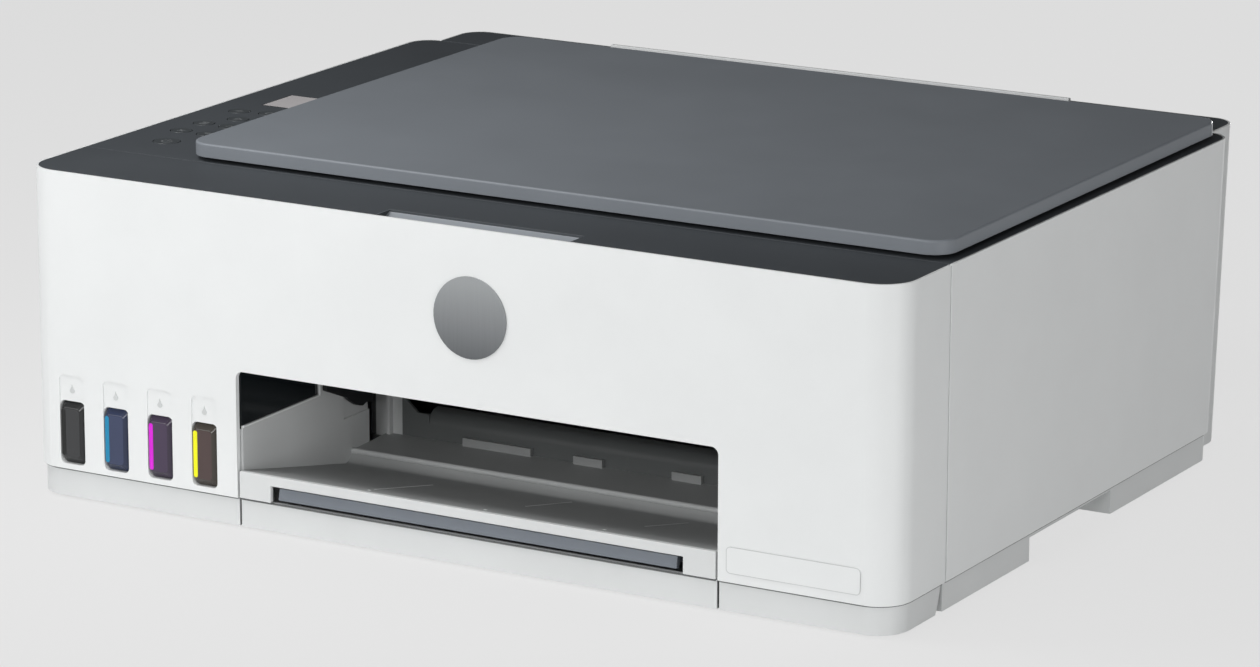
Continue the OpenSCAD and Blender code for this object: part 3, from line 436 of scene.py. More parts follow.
def sharp_edges(shape, angle=28.0, test=None):
    """Edges that turn by more than an angle in degrees, and pass a test of their middle."""
    found = []
    for edge in shape.edges:
        if len(edge.link_faces) != 2 or edge.calc_face_angle(0.0) < math.radians(angle):
            continue
        middle = (edge.verts[0].co + edge.verts[1].co) / 2
        if test is None or test(middle):
            found.append(edge)
    return found


def round_edges(shape, edges, radius, segments):
    """Rounds the given edges by a radius in mm."""
    bmesh.ops.bevel(shape, geom=edges, offset=radius * MM, offset_type="OFFSET", segments=segments,
                    profile=0.5, affect="EDGES", clamp_overlap=True, material=-1)


def soften(shape, radius, segments=2, angle=28.0, test=None):
    """Rounds the sharp edges by a radius in mm, scaled by the panel's edge rounding."""
    round_edges(shape, sharp_edges(shape, angle, test), radius * settings().edge_scale, segments)


def copy_of(node):
    """The CAD node's mesh with its triangles merged into whole faces."""
    shape = bmesh.new()
    shape.from_mesh(frame["nodes"][node].data)
    bmesh.ops.remove_doubles(shape, verts=shape.verts, dist=2e-6)
    bmesh.ops.dissolve_limit(
        shape, angle_limit=math.radians(0.4), use_dissolve_boundaries=False,
        verts=shape.verts, edges=shape.edges, delimit={"NORMAL"})
    return shape


def make_piece(name, node, shape, finishes):
    """Makes a piece from a shape, on the body of a CAD node."""
    mesh = bpy.data.meshes.new(name)
    shape.to_mesh(mesh)
    shape.free()
    for finish in finishes:
        mesh.materials.append(finish_of(finish))
    mesh.shade_smooth()
    mesh.set_sharp_from_angle(angle=math.radians(30.0))
    piece = bpy.data.objects.new(name, mesh)
    bpy.context.scene.collection.objects.link(piece)
    even = piece.modifiers.new("Even normals", "WEIGHTED_NORMAL")
    even.keep_sharp = True
    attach(piece, BODY_OF[node])
    return piece


def stand_in(node, shape, *finishes):
    """Makes a shape the surface that is seen in place of a CAD node."""
    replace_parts(make_piece(node + "_surface", node, shape, finishes), node)


def dress(node, finish, radius, segments=2, rule=None, extra=()):
    """Stands a softened copy in for a CAD node; a rule picks the finish of each face."""
    shape = copy_of(node)
    soften(shape, radius, segments)
    if rule:
        shape.normal_update()
        paint(shape, rule)
    stand_in(node, shape, finish, *extra)


def dress_all(group):
    """Dresses every node of a group."""
    for node, (finish, radius) in group.items():
        dress(node, finish, radius)


def rounded_plate(low, high, corner, axis="Z", steps=6):
    """Closed plate between two corners in mm, with its corners round about one axis."""
    low, high = spot(*low), spot(*high)
    shape = new_cube()
    size = [high[i] - low[i] for i in range(3)]
    middle = Vector([(high[i] + low[i]) / 2 for i in range(3)])
    scale_all(shape, size)
    bmesh.ops.translate(shape, vec=middle, verts=shape.verts)
    along = "XYZ".index(axis)
    upright = [e for e in shape.edges
               if abs(e.verts[0].co[along] - e.verts[1].co[along]) > size[along] / 2]
    round_edges(shape, upright, corner, steps)
    return shape


def join(shapes):
    """Joins shapes into the first of them."""
    whole = shapes[0]
    for shape in shapes[1:]:
        part = bpy.data.meshes.new("part")
        shape.to_mesh(part)
        shape.free()
        whole.from_mesh(part)
        bpy.data.meshes.remove(part)
    return whole


# ---- Plain surfaces of the CAD nodes ----

# Finish and edge radius in mm of each node whose softened copy is enough.
CASING = {
    "rear_cover": ("grey", 0.35), "base_pan": ("grey", 0.4), "door_trims": ("grey", 0.4),
    "feet": ("nitrile", 0.3),
}
TOP = {
    "rear_deck": ("charcoal", 0.3), "scanner_deck": ("charcoal", 0.3),
    "lid_hinges": ("black", 0.25), "shield_flap": ("charcoal", 0.2),
    "paper_support": ("grey", 0.4), "lid_pad": ("foam", 0.3), "scan_glass": ("glass", 0.2),
    "scanner_tub": ("black", 0.4),
}
BAY = {
    "bay_liner": ("liner", 0.3), "bay_window": ("smoked", 0.15), "output_tray": ("tray", 0.3),
    "tray_front": ("grey", 0.3), "tray_extender": ("blue_grey", 0.3),
    "tray_extension": ("blue_grey", 0.4),
}
INSIDE = {
    "ink_tanks": ("tank", 0.4), "head_latch": ("latch", 0.3), "guide_rods": ("rod", 0.2),
    "chassis": ("galvanised", 0.2), "carriage_belt": ("nitrile", 0.1),
    "motor_pulley": ("plated", 0.15), "idler_pulley": ("pom", 0.15),
    "drive_motors": ("plated", 0.3), "rear_chute": ("black", 0.3), "drive_gear": ("pom", 0.1),
    "width_guide": ("graphite", 0.2), "screws": ("plated", 0.1),
}
# Middle of the first ink window, and the distance from one to the next.
WINDOW_X, WINDOW_PITCH = -193.2, 23.6
WINDOWS = [(ink, WINDOW_X + i * WINDOW_PITCH) for i, ink in enumerate(INKS)]


# ---- Door, badge and ink windows ----

# Radii of the shell's seam edges and of its other edges.
SEAM_ROUND, SHELL_ROUND = 0.7, 0.35


def on_badge(place):
    """Whether a place in mm lies on the round badge."""
    return place.y < -0.01 and math.hypot(place.x - BADGE_X, place.z - BADGE_Z) < BADGE_R + 0.1


def outer_edge(place):
    """Whether a place in mm lies on a seam edge or the lower edge of the white shell."""
    outside = abs(place.x) > HALF_W - 0.6 or place.y < 0.3
    seam = 40.0 < place.y < 50.0 and abs(place.x) > HALF_W - 0.6
    return outside and place.z < 147.5 and (seam or place.z < 13.3)


def soften_shell(shape, kept=lambda place: False):
    """Rounds a white shell's seam edges more than the rest, and leaves the kept ones sharp."""
    soften(shape, SEAM_ROUND, segments=3, test=lambda p: outer_edge(shell_mm(p)))
    soften(shape, SHELL_ROUND,
           test=lambda p: not kept(shell_mm(p)) and not outer_edge(shell_mm(p)))


def make_door():
    """Door with a sunk field in its badge."""
    rim_width, field_depth, rim_round = 0.7 * MM, 0.15 * MM, 0.08
    shape = copy_of("door_shell")
    discs = [f for f in shape.faces if on_badge(middle_of(f)) and f.normal.y < -FACING]
    bmesh.ops.inset_region(shape, faces=discs, thickness=rim_width, depth=0.0,
                           use_even_offset=True)
    field = {v for f in discs for v in f.verts}
    bmesh.ops.translate(shape, vec=(0.0, field_depth, 0.0), verts=list(field))
    soften_shell(shape, kept=on_badge)
    soften(shape, rim_round, test=lambda p: on_badge(shell_mm(p)), angle=20.0)
    paint(shape, lambda face: int(on_badge(middle_of(face))))
    stand_in("door_shell", shape, "white", "badge")


def make_side_panels():
    """Side panels with rounder edges along their seams than along the deck."""
    for node in ("left_side_panel", "right_side_panel"):
        shape = copy_of(node)
        soften_shell(shape)
        stand_in(node, shape, "white")


def make_label_plate():
    """Bare plate at the door's lower right, with a fine shadow line round it."""
    line_width, line_step = 0.35 * MM, 0.04 * MM
    shape = rounded_plate((138.7, -0.36, 17.0), (201.5, -0.1, 28.7), 2.0, axis="Y")
    front = [f for f in shape.faces if f.normal.y < -FACING]
    bmesh.ops.inset_region(shape, faces=front, thickness=line_width, depth=0.0)
    paint(shape, lambda face: int(face not in front))
    bmesh.ops.translate(shape, vec=(0.0, line_step, 0.0),
                        verts=list({v for f in front for v in f.verts}))
    make_piece("label_plate", "door_shell", shape, ("white", "liner"))


def make_gap_shadows():
    """Black strips deep in the gaps between the door's legs and the tray: painted shadow in the
    gaps.
    """
    strips = [rounded_plate((low, 1.9, 0.6), (high, 2.9, 24.6), 0.2)
              for low, high in ((-105.1, -104.35), (133.65, 134.4))]
    make_piece("gap_seals", "bay_liner", join(strips), ("black",))


# Painted shadow line under the shell's lower edge, a grey strip where the trim's step is in shade:
# height range, distance in from the shell, thickness, corner radius, and where the ring that it is
# cut from ends at the back.
SHADOW_LINE_Z, SHADOW_LINE_IN, SHADOW_LINE_T, SHADOW_LINE_R, SHADOW_LINE_BACK = (12.4, 12.88), 0.5, 1.3, 15.5, 345.0
# Where it ends: before and past the door's seam, before the rear corner's lean, and at the
# bay, first on the door's legs and then on the tray's front.
DOOR_END, SHELL_START, SHELL_END = 43.9, 46.7, 309.0
LEG_ENDS, TRAY_ENDS = (-105.6, 134.9), (-103.9, 133.2)


def shadow_line_strip(*cuts):
    """Strip of the painted shadow line, left by cuts; each takes what lies past a place in mm."""
    shape = rounded_plate((SHADOW_LINE_IN - HALF_W, SHADOW_LINE_IN, SHADOW_LINE_Z[0]),
                          (HALF_W - SHADOW_LINE_IN, SHADOW_LINE_BACK, SHADOW_LINE_Z[1]),
                          SHADOW_LINE_R, steps=10)
    flat = [face for face in shape.faces if abs(face.normal.z) > FACING]
    bmesh.ops.delete(shape, geom=flat, context="FACES")
    for place, past in cuts:
        bmesh.ops.bisect_plane(shape, geom=shape.verts[:] + shape.edges[:] + shape.faces[:],
                               dist=1e-7, plane_co=spot(*place), plane_no=past, clear_outer=True)
    bmesh.ops.solidify(shape, geom=shape.faces[:], thickness=SHADOW_LINE_T * MM)
    outward(shape)
    return shape


def make_shadow_lines():
    """Painted shadow line between the shell and its lower trim, in parts that move with the door or
    stay.
    """
    def past_x(x, side):
        return (x, 0, 0), (side, 0, 0)

    def past_y(y, side):
        return (0, y, 0), (0, side, 0)

    front, back, start = past_y(DOOR_END, 1), past_y(SHELL_END, 1), past_y(SHELL_START, -1)
    legs = [shadow_line_strip(front, past_x(LEG_ENDS[0], 1)),
            shadow_line_strip(front, past_x(LEG_ENDS[1], -1))]
    fixed = [shadow_line_strip(back, start, past_x(0, -1)), shadow_line_strip(back, start, past_x(0, 1)),
             shadow_line_strip(front, past_x(TRAY_ENDS[0], -1), past_x(TRAY_ENDS[1], 1))]
    make_piece("door_gasket", "door_trims", join(legs), ("guide",))
    make_piece("shell_gasket", "base_pan", join(fixed), ("guide",))


def make_lens(x):
    """Raised lens: a deep chamfer all round its face, wider on the right, with a round ridge."""
    shape = rounded_plate((x - 6.3, 2.1, 15.8), (x + 6.3, 5.0, 44.2), 2.2, axis="Y")
    front = [f for f in shape.faces if f.normal.y < -FACING]
    raised = bmesh.ops.extrude_face_region(shape, geom=front)["geom"]
    bmesh.ops.delete(shape, geom=front, context="FACES")
    top = [item for item in raised if isinstance(item, bmesh.types.BMVert)]
    face = [item for item in raised if isinstance(item, bmesh.types.BMFace)][0]
    middle = face.calc_center_median()
    bmesh.ops.scale(shape, vec=(0.76, 1.0, 0.79), verts=top, space=Matrix.Translation(-middle))
    bmesh.ops.translate(shape, vec=(-0.8 * MM, -2.4 * MM, 0.0), verts=top)
    round_edges(shape, list(face.edges), 0.4, 3)
    shape.normal_update()
    return shape


def make_windows():
    """The four lenses, the bright line of ink behind each one's left edge, and the ink."""
    lenses, stripes, fills = [], [], []
    floor_z, full_height = 16.0, 54
    surface_z = floor_z + full_height * settings().ink_level
    for i, (ink, x) in enumerate(WINDOWS):
        lens = make_lens(x)
        # Faces that do not look straight ahead take the darker chamfer colour: painted shade.
        paint(lens, lambda face: int(face.normal.y > -0.97) + 2 * i)
        stripe = rounded_plate((x - 5.7, -0.45, 19.3), (x - 3.5, 0.2, 40.6), 1.05, axis="Y")
        soften(stripe, 0.2, test=lambda p: shell_mm(p).y < -0.4)
        fill = rounded_plate((x - 9.5, 6.8, floor_z), (x + 9.5, 73.2, surface_z), 1.5)
        soften(fill, 0.6)
        for shape, group in ((stripe, stripes), (fill, fills)):
            paint(shape, lambda face: i)
            group.append(shape)
        lenses.append(lens)
    inks = ["ink " + ink for ink in INKS]
    stand_in("tank_windows", join(lenses),
             *[part + ink for ink in INKS for part in ("lens ", "chamfer ")])
    make_piece("ink_lines", "tank_windows", join(stripes), inks)
    make_piece("ink_in_tanks", "ink_tanks", join(fills), inks)


def make_drop_marks():
    """A plain raised drop in the recess above each window."""
    radius, point_length, thickness = 1.25 * MM, 1.7 * MM, 0.35 * MM
    drops = []
    for _, x in WINDOWS:
        shape = bmesh.new()
        bmesh.ops.create_circle(shape, cap_ends=True, radius=radius, segments=24)
        tip = max(shape.verts, key=lambda v: v.co.y)
        upper = [v for v in shape.verts if v.co.y > 0.6 * MM and v is not tip]
        bmesh.ops.translate(shape, vec=(0.0, point_length, 0.0), verts=[tip])
        bmesh.ops.scale(shape, vec=(0.62, 1.45, 1.0), verts=upper)
        raise_faces(shape, shape.faces[:], (0.0, 0.0, thickness))
        turn = Matrix.Rotation(math.radians(90), 4, "X")
        move_all(shape, Matrix.Translation(spot(x, 0.52, 49.4)) @ turn)
        outward(shape)
        soften(shape, 0.1, angle=50.0)
        drops.append(shape)
    make_piece("drop_marks", "door_shell", join(drops), ("liner",))


def make_top_strip():
    """Deck strip on the door, the sloped faces of its finger recess in a lighter grey as a painted
    highlight.
    """
    low, high = Vector((-33.5, 1.2, 0)), Vector((62.8, 12.9, 0))

    # The recess's sloped faces take the lighter finish: a painted highlight for the light they
    # catch.
    def recess(face):
        place = middle_of(face)
        inside = low.x < place.x < high.x and low.y < place.y < high.y
        return int(inside and 0.2 < face.normal.z < 0.97)

    dress("door_top_strip", "charcoal", 0.3, rule=recess, extra=("recess",))


def make_lid():
    """Scanner lid: a full round along its top edge, a small one below, sharp hinge wells."""
    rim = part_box("scanner_lid")[1][2] - 0.3 * MM
    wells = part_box("lid_hinges")[0][1] - 2.0 * MM
    shape = copy_of("scanner_lid")
    soften(shape, 1.0, segments=5, test=lambda p: p.z > rim)
    soften(shape, 0.3, test=lambda p: p.z < rim - 2.0 * MM and p.y < wells)
    stand_in("scanner_lid", shape, "slate")


# ---- Keys and display ----

def bar(first, last, rise):
    """A flat line in mm between two points in the X-Y plane."""
    shape = new_cube()
    along = Vector((last[0] - first[0], last[1] - first[1], 0.0))
    scale_all(shape, (along.length + MARK_WIDTH, MARK_WIDTH, rise))
    turn = Matrix.Rotation(math.atan2(along.y, along.x), 4, "Z")
    middle = ((first[0] + last[0]) / 2, (first[1] + last[1]) / 2, rise / 2)
    move_all(shape, Matrix.Translation(middle) @ turn)
    return shape


def bow(centre, radius, start, end, rise):
    """A flat line in mm along an arc, its angles in degrees."""
    shape = bmesh.new()
    reach = (radius - MARK_WIDTH / 2, radius + MARK_WIDTH / 2)
    ends = [shape.verts.new((r * math.cos(math.radians(start)), r * math.sin(math.radians(start)),
                             0.0)) for r in reach]
    edge = shape.edges.new(ends)
    bmesh.ops.spin(shape, geom=ends + [edge], cent=(0, 0, 0), axis=(0, 0, 1),
                   angle=math.radians(end - start), steps=16, use_merge=False)
    raise_faces(shape, shape.faces[:], (0.0, 0.0, rise))
    bmesh.ops.translate(shape, vec=(centre[0], centre[1], 0.0), verts=shape.verts)
    outward(shape)
    return shape


MARK_WIDTH = 0.45
# Plain line marks in mm, by key: bars between two points, and bows round a centre.
MARKS = {
    "power_key": ([((0.0, 0.7), (0.0, 3.0))], [((0, 0), 2.3, 125, 415)]),
    "key_1": ([((-1.4, -1.4), (1.4, 1.4)), ((-1.4, 1.4), (1.4, -1.4))], []),
    "key_2": ([], [((0, -1.3), r, 45, 135) for r in (1.0, 2.1, 3.2)]),
    "key_3": ([((-1.5, -1.9), (1.5, -1.9)), ((1.5, -1.9), (1.5, 1.9)),
               ((1.5, 1.9), (-1.5, 1.9)), ((-1.5, 1.9), (-1.5, -1.9)),
               ((-0.5, 0.6), (0.5, 0.6)), ((-0.5, -0.5), (0.5, -0.5))], []),
    "key_4": ([((-1.7, -0.6), (0.0, 1.3)), ((0.0, 1.3), (1.7, -0.6))], []),
    "key_5": ([((-1.2, -1.8), (1.8, 0.0)), ((1.8, 0.0), (-1.2, 1.8)),
               ((-1.2, 1.8), (-1.2, -1.8))], []),
    "key_6": ([((-2.0, 0.0), (2.0, 0.0)), ((0.0, -2.0), (0.0, 2.0))], []),
    "key_7": ([((1.1, 0.5), (2.6, 0.5))], [((0, 0), 1.8, 20, 320)]),
}
# Rounding of a key's edge, width of the ring round its dish, depth of the dish and rounding
# of the dish's edge, in mm, and a height that only a key's own top stands above.
KEY_ROUND, RING_WIDTH, DISH_DEPTH, DISH_ROUND, KEY_TOP = 0.25, 0.55, 0.12, 0.1, 148
# Thickness of the marks; each bar is a little thicker than the last, so none lies in another.
BAR_RISE, BAR_STEP, BOW_RISE = 0.04, 0.004, 0.03


def make_keys():
    """Keys with a shallow dish and a raised ring, each with a plain mark."""
    for node, (bars, bows) in MARKS.items():
        shape = copy_of(node)
        top = max((f for f in shape.faces if f.normal.z > FACING),
                  key=lambda f: f.calc_center_median().z)
        middle = middle_of(top)
        soften(shape, KEY_ROUND, segments=3)
        cap = max((f for f in shape.faces if f.normal.z > FACING),
                  key=lambda f: f.calc_area() if middle_of(f).z > KEY_TOP else 0)
        bmesh.ops.inset_region(shape, faces=[cap], thickness=RING_WIDTH * MM, depth=0.0)
        bmesh.ops.translate(shape, vec=(0.0, 0.0, -DISH_DEPTH * MM), verts=list(cap.verts))
        round_edges(shape, list(cap.edges), DISH_ROUND, 2)
        stand_in(node, shape, "key")
        if not settings().show_marks:
            continue
        lines = [bar(*ends, BAR_RISE + BAR_STEP * i) for i, ends in enumerate(bars)]
        lines += [bow(*turns, BOW_RISE) for turns in bows]
        mark = join(lines)
        scale_all(mark, (MM, MM, MM))
        place = spot(middle.x, middle.y, middle.z - DISH_DEPTH)
        bmesh.ops.translate(mark, vec=place, verts=mark.verts)
        make_piece(node + "_mark", node, mark, ("print",))


def make_display():
    """Display glass with a thin dark frame printed round it."""
    frame_width = 0.8 * MM
    shape = copy_of("display_window")
    top = [f for f in shape.faces if f.normal.z > FACING]
    bmesh.ops.inset_region(shape, faces=top, thickness=frame_width, depth=0.0)
    paint(shape, lambda face: int(face not in top))
    soften(shape, 0.15)
    stand_in("display_window", shape, "display", "smoked")


# ---- Parts behind the covers ----

def above(height):
    """A rule: 1 for faces above a height in mm over the shell's underside, and 0 for the rest."""
    return lambda face: int(middle_of(face).z > height)


def make_boards():
    """Boards with dark chips, and a bright socket and posts."""
    # The main board's posts lie below the first height and its chips above the second, and
    # above the third lies the keys' board. The USB socket is behind socket_y, left of socket_x.
    post_z, chip_z, keys_z = 11.9, 13.65, 60
    socket_y, socket_x = 335.9, -118.9

    def rule(face):
        place = middle_of(face)
        if place.z > keys_z:
            return 0
        if place.z < post_z or (place.y > socket_y and place.x < socket_x):
            return 2
        return int(place.z > chip_z)

    dress("circuit_boards", "mask", 0.1, rule=rule, extra=("black", "plated"))


def make_tubes():
    """Soft tubes, each with its ink showing through."""
    # Where the tubes still stand over their tanks, and how they lie side by side past that.
    tank_x, tank_z = -110, 97.5
    first_y, tube_pitch = 88.0, 3.6

    def rule(face):
        place = middle_of(face)
        if place.x < tank_x and place.z < tank_z:
            number = round((place.x - WINDOW_X) / WINDOW_PITCH)
        else:
            number = round((place.y - first_y) / tube_pitch)
        return max(0, min(3, number))

    inks = ["tube " + ink for ink in INKS]
    dress("ink_tubes", inks[0], 0.1, rule=rule, extra=inks[1:])


def make_rollers():
    """Rollers with steel shafts and rubber sleeves; two of them have an acetal gear."""
    # Radius just over the shaft's, and the x left of which the gear lies.
    shaft, gear_x = 4.3, -150
    for node in ("feed_roller", "output_roller", "pickup_roller"):
        low, high = (shell_mm(corner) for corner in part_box(node))
        axis_y, axis_z = (low.y + high.y) / 2, (low.z + high.z) / 2

        def off_axis(place):
            return math.hypot(place.y - axis_y, place.z - axis_z)

        def rule(face):
            place = middle_of(face)
            if place.x < gear_x and off_axis(place) > shaft:
                return 2
            return int(abs(face.normal.x) < 0.5 and all(
                off_axis(shell_mm(v.co)) < shaft for v in face.verts))

        dress(node, "epdm", 0.1, rule=rule, extra=("rod", "pom"))


def make_printheads():
    """Printheads with gold contact strips towards the carriage's back."""
    # Left side of each head, and the distance from one strip to the next.
    head_x, strip_pitch = (144.5, 172.5), 2
    dress("printheads", "black", 0.3, rule=above(100.5), extra=("graphite",))
    strips = [rounded_plate((x + 7.0 + strip_pitch * row, 152.5, 104.95),
                            (x + 8.2 + strip_pitch * row, 172.5, 105.1), 0.2)
              for x in head_x for row in range(6)]
    make_piece("head_contacts", "printheads", join(strips), ("gold",))


def make_service():
    """Parking station with rubber caps and wiper in their tub."""
    dress("service_station", "graphite", 0.3, rule=above(44.5), extra=("nitrile",))


def make_scan_bar():
    """Sensor bar with its pale lens strip."""
    dress("scan_bar", "black", 0.4)
    low, high = (shell_mm(corner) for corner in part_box("scan_bar"))
    strip = rounded_plate((low.x + 12.0, low.y + 4, high.z - 0.2),
                          (low.x + 15.0, high.y - 4, high.z + 0.1), 1.2)
    soften(strip, 0.08)
    make_piece("scan_lens", "scan_bar", strip, ("tank",))


def make_caps():
    """Soft caps of the four fillers."""
    for ink in INKS:
        dress("cap_" + ink, "cap " + ink, 0.6, segments=3)


def make_platen():
    """Platen with its ribbed bed dark, and the exit guide in front of it mid grey."""
    guide_y = 128.5
    dress("platen", "graphite", 0.15, rule=lambda face: int(middle_of(face).y < guide_y),
          extra=("guide",))


# ---- Details of the output bay ----

# The paper flag's outline as (y, z), and its left and right side.
FLAG = [(66.5, 52), (66.5, 46.2), (83.6, 39.2), (85.6, 37.4), (91, 34.1), (94.2, 33),
        (96.6, 32.4), (99.4, 33.4), (104.6, 32.7), (104.6, 52)]
FLAG_X = -104.1, -101.9


def make_paper_flag():
    """Black sensor flag that hangs on the bay's left wall."""
    shape = bmesh.new()
    face = shape.faces.new([shape.verts.new(spot(FLAG_X[0], y, z)) for y, z in FLAG])
    raise_faces(shape, [face], ((FLAG_X[1] - FLAG_X[0]) * MM, 0.0, 0.0))
    outward(shape)
    soften(shape, 0.35)
    make_piece("paper_flag", "bay_liner", shape, ("black",))


def make_exit_wall():
    """Pale wall between the liner and the exit guide, with its upright rib."""
    wall = rounded_plate((-110.7, 120.7, 8), (-96.4, 121.9, 46), 0.3, axis="Y")
    rib = rounded_plate((-103.2, 117.5, 8), (-101.4, 120.8, 46), 0.3)
    soften(rib, 0.2, angle=60.0)
    make_piece("exit_wall", "bay_liner", join([wall, rib]), ("liner",))


def make_panel_lip_highlight():
    """White strip along the smoked panel's lower and rear edges: a painted highlight where the sill
    and edge of its hole catch light.
    """
    sill = rounded_plate((-104.5, 3.6, 44.2), (-103.7, 64.4, 45.0), 0.3, axis="Y")
    post = rounded_plate((-104.5, 63.9, 45.0), (-103.7, 64.7, 76.0), 0.3)
    make_piece("panel_lip", "bay_liner", join([sill, post]), ("white",))


def make_tray_lip_highlight():
    """Round lip that stiffens the tray's step, in the paler liner plastic as a painted highlight on
    the lit bead.
    """
    radius, lip_y, lip_z = 1.3, 90.7, 12.6
    low, high = (shell_mm(corner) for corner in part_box("output_tray"))
    length = high.x - low.x
    shape = bmesh.new()
    rail = [shape.verts.new((out, 0.0, along))
            for out, along in ((0.0, 0.0), (radius, 0.0), (radius, length), (0.0, length))]
    edges = [shape.edges.new(pair) for pair in zip(rail, rail[1:])]
    bmesh.ops.spin(shape, geom=rail + edges, cent=(0, 0, 0), axis=(0, 0, 1),
                   angle=2 * math.pi, steps=24, use_merge=True)
    bmesh.ops.remove_doubles(shape, verts=shape.verts, dist=1e-7)
    outward(shape)
    scale_all(shape, (MM, MM, MM))
    turn = Matrix.Rotation(math.radians(90), 4, "Y")
    move_all(shape, Matrix.Translation(spot(low.x, lip_y, lip_z)) @ turn)
    make_piece("tray_lip", "output_tray", shape, ("liner",))


# How the tray falls towards the back, and its height at the depth where the fall begins.
TRAY_FALL, TRAY_Z, TRAY_Y = 0.21, 25.3, 2.2
# Stud, and the first and last point of the line behind it, as (x, y) in mm.
TRAY_MARKS = [((-41.0, 6.5), (-42.0, 12.0), (-42.3, 60.0)),
              ((17.5, 7.0), (17.5, 40.0), (16.5, 81.0)),
              ((76.0, 7.5), (77.0, 40.0), (78.0, 76.0))]
STUD_WIDTH, LINE_WIDTH, LINE_RISE = 1.4, 0.7, 0.25


def make_tray_marks():
    """Fine raised white lines on the tray's slope, each behind a small stud."""
    lines = []
    for stud, first, last in TRAY_MARKS:
        for start, end, width in ((stud, stud, STUD_WIDTH), (first, last, LINE_WIDTH)):
            along = Vector((end[0] - start[0], end[1] - start[1], 0.0))
            shape = new_cube(MM)
            scale_all(shape, (along.length + width, width, LINE_RISE))
            turn = Matrix.Rotation(math.atan2(along.y, along.x), 4, "Z")
            tilt = Matrix.Rotation(-math.atan(TRAY_FALL), 4, "X")
            y = (start[1] + end[1]) / 2
            place = spot((start[0] + end[0]) / 2, y, TRAY_Z - TRAY_FALL * (y - TRAY_Y))
            move_all(shape, Matrix.Translation(place) @ tilt @ turn)
            soften(shape, 0.08)
            lines.append(shape)
    make_piece("tray_marks", "output_tray", join(lines), ("white",))


# ---- Operators ----

class PRINTER_OT_casing(bpy.types.Operator):
    """Makes the outer casing's surfaces"""

    bl_idname = "printer.casing"
    bl_label = "Casing"

    def execute(self, context):
        dress_all(CASING)
        make_door()
        make_side_panels()
        make_drop_marks()
        make_label_plate()
        make_gap_shadows()
        make_shadow_lines()
        return {"FINISHED"}


class PRINTER_OT_windows(bpy.types.Operator):
    """Makes the ink windows and the ink behind them"""

    bl_idname = "printer.windows"
    bl_label = "Ink windows"

    def execute(self, context):
        make_windows()
        return {"FINISHED"}


class PRINTER_OT_top(bpy.types.Operator):
    """Makes the deck, the lid and the scanner's surfaces"""

    bl_idname = "printer.top"
    bl_label = "Top"

    def execute(self, context):
        dress_all(TOP)
        make_top_strip()
        make_lid()
        make_scan_bar()
        return {"FINISHED"}


class PRINTER_OT_keys(bpy.types.Operator):
    """Makes the keys, their marks and the display"""

    bl_idname = "printer.keys"
    bl_label = "Keys and display"

    def execute(self, context):
        make_keys()
        make_display()
        return {"FINISHED"}


class PRINTER_OT_bay(bpy.types.Operator):
    """Makes the output bay's surfaces"""

    bl_idname = "printer.bay"
    bl_label = "Output bay"

    def execute(self, context):
        dress_all(BAY)
        make_platen()
        make_exit_wall()
        make_panel_lip_highlight()
        make_paper_flag()
        make_tray_lip_highlight()
        make_tray_marks()
        return {"FINISHED"}


class PRINTER_OT_inside(bpy.types.Operator):
    """Makes the surfaces of the ink system, the carriage and the paper path"""

    bl_idname = "printer.inside"
    bl_label = "Inside"

    def execute(self, context):
        dress_all(INSIDE)
        make_caps()
        make_tubes()
        make_boards()
        dress("power_unit", "black", 0.5)
        dress("carriage", "graphite", 0.3)
        make_printheads()
        make_service()
        make_rollers()
        return {"FINISHED"}


# ---- Stage ----

# The soft boxes: name, watts, place, width and height in metres, and spread in degrees.
BOXES = (
    ("key_box", 3.2, (-0.9, -1.2, 0.8), 0.9, 0.6, 180),
    ("top_box", 1.8, (-0.28, -0.3, 0.58), 0.3, 0.25, 180),
    ("side_box", 12.2, (2.1, -0.9, 0.2), 0.8, 0.4, 180),
    ("fill_box", 11.6, (0.6, -2.3, 0.8), 1.0, 0.6, 180),
    ("back_box", 1.1, (-0.3, 2.4, 0.12), 1.2, 0.12, 16),
)
# The sun's strength, place and width in degrees, and the point that every lamp faces.
SUN_STRENGTH, SUN_PLACE, SUN_ANGLE, AIM = 0.4, (-1.0, -2.6, 1.5), 30, (0.0, 0.0, 0.08)
# How much of the floor's paleness is its own to the eye, and the floor's half width in metres.
OWN_PALENESS, FLOOR_SIZE = 0.86, 20.0
# The camera's place, its right hand and its view direction.
CAMERA_PLACE = (1.15317, -2.02302, 0.66884)
CAMERA_RIGHT, CAMERA_AHEAD = (0.86595, 0.50012, 0.00229), (-0.48344, 0.83822, -0.25234)


def lamp(name, kind, energy, place, **properties):
    """A lamp that points from its place to the printer."""
    data = bpy.data.lights.new(name, kind)
    data.energy = energy
    for key, value in properties.items():
        setattr(data, key, value)
    lamp_object = bpy.data.objects.new(name, data)
    lamp_object.location = place
    lamp_object.visible_camera = False
    aim = Vector(AIM) - Vector(place)
    lamp_object.rotation_euler = aim.to_track_quat("-Z", "Y").to_euler()
    bpy.context.scene.collection.objects.link(lamp_object)


def seen_directly(owner, share):
    """A factor that is a share for camera, mirror and see-through rays, and 0 for the rest."""
    rays = add_node(owner, "ShaderNodeLightPath")
    both = add_node(owner, "ShaderNodeMath", {
        0: rays.outputs["Is Camera Ray"], 1: rays.outputs["Is Glossy Ray"]}, operation="ADD")
    every = add_node(owner, "ShaderNodeMath", {
        0: both.outputs[0], 1: rays.outputs["Is Transmission Ray"]},
        operation="ADD", use_clamp=True)
    return add_node(owner, "ShaderNodeMath", {0: every.outputs[0], 1: share},
                    operation="MULTIPLY").outputs[0]


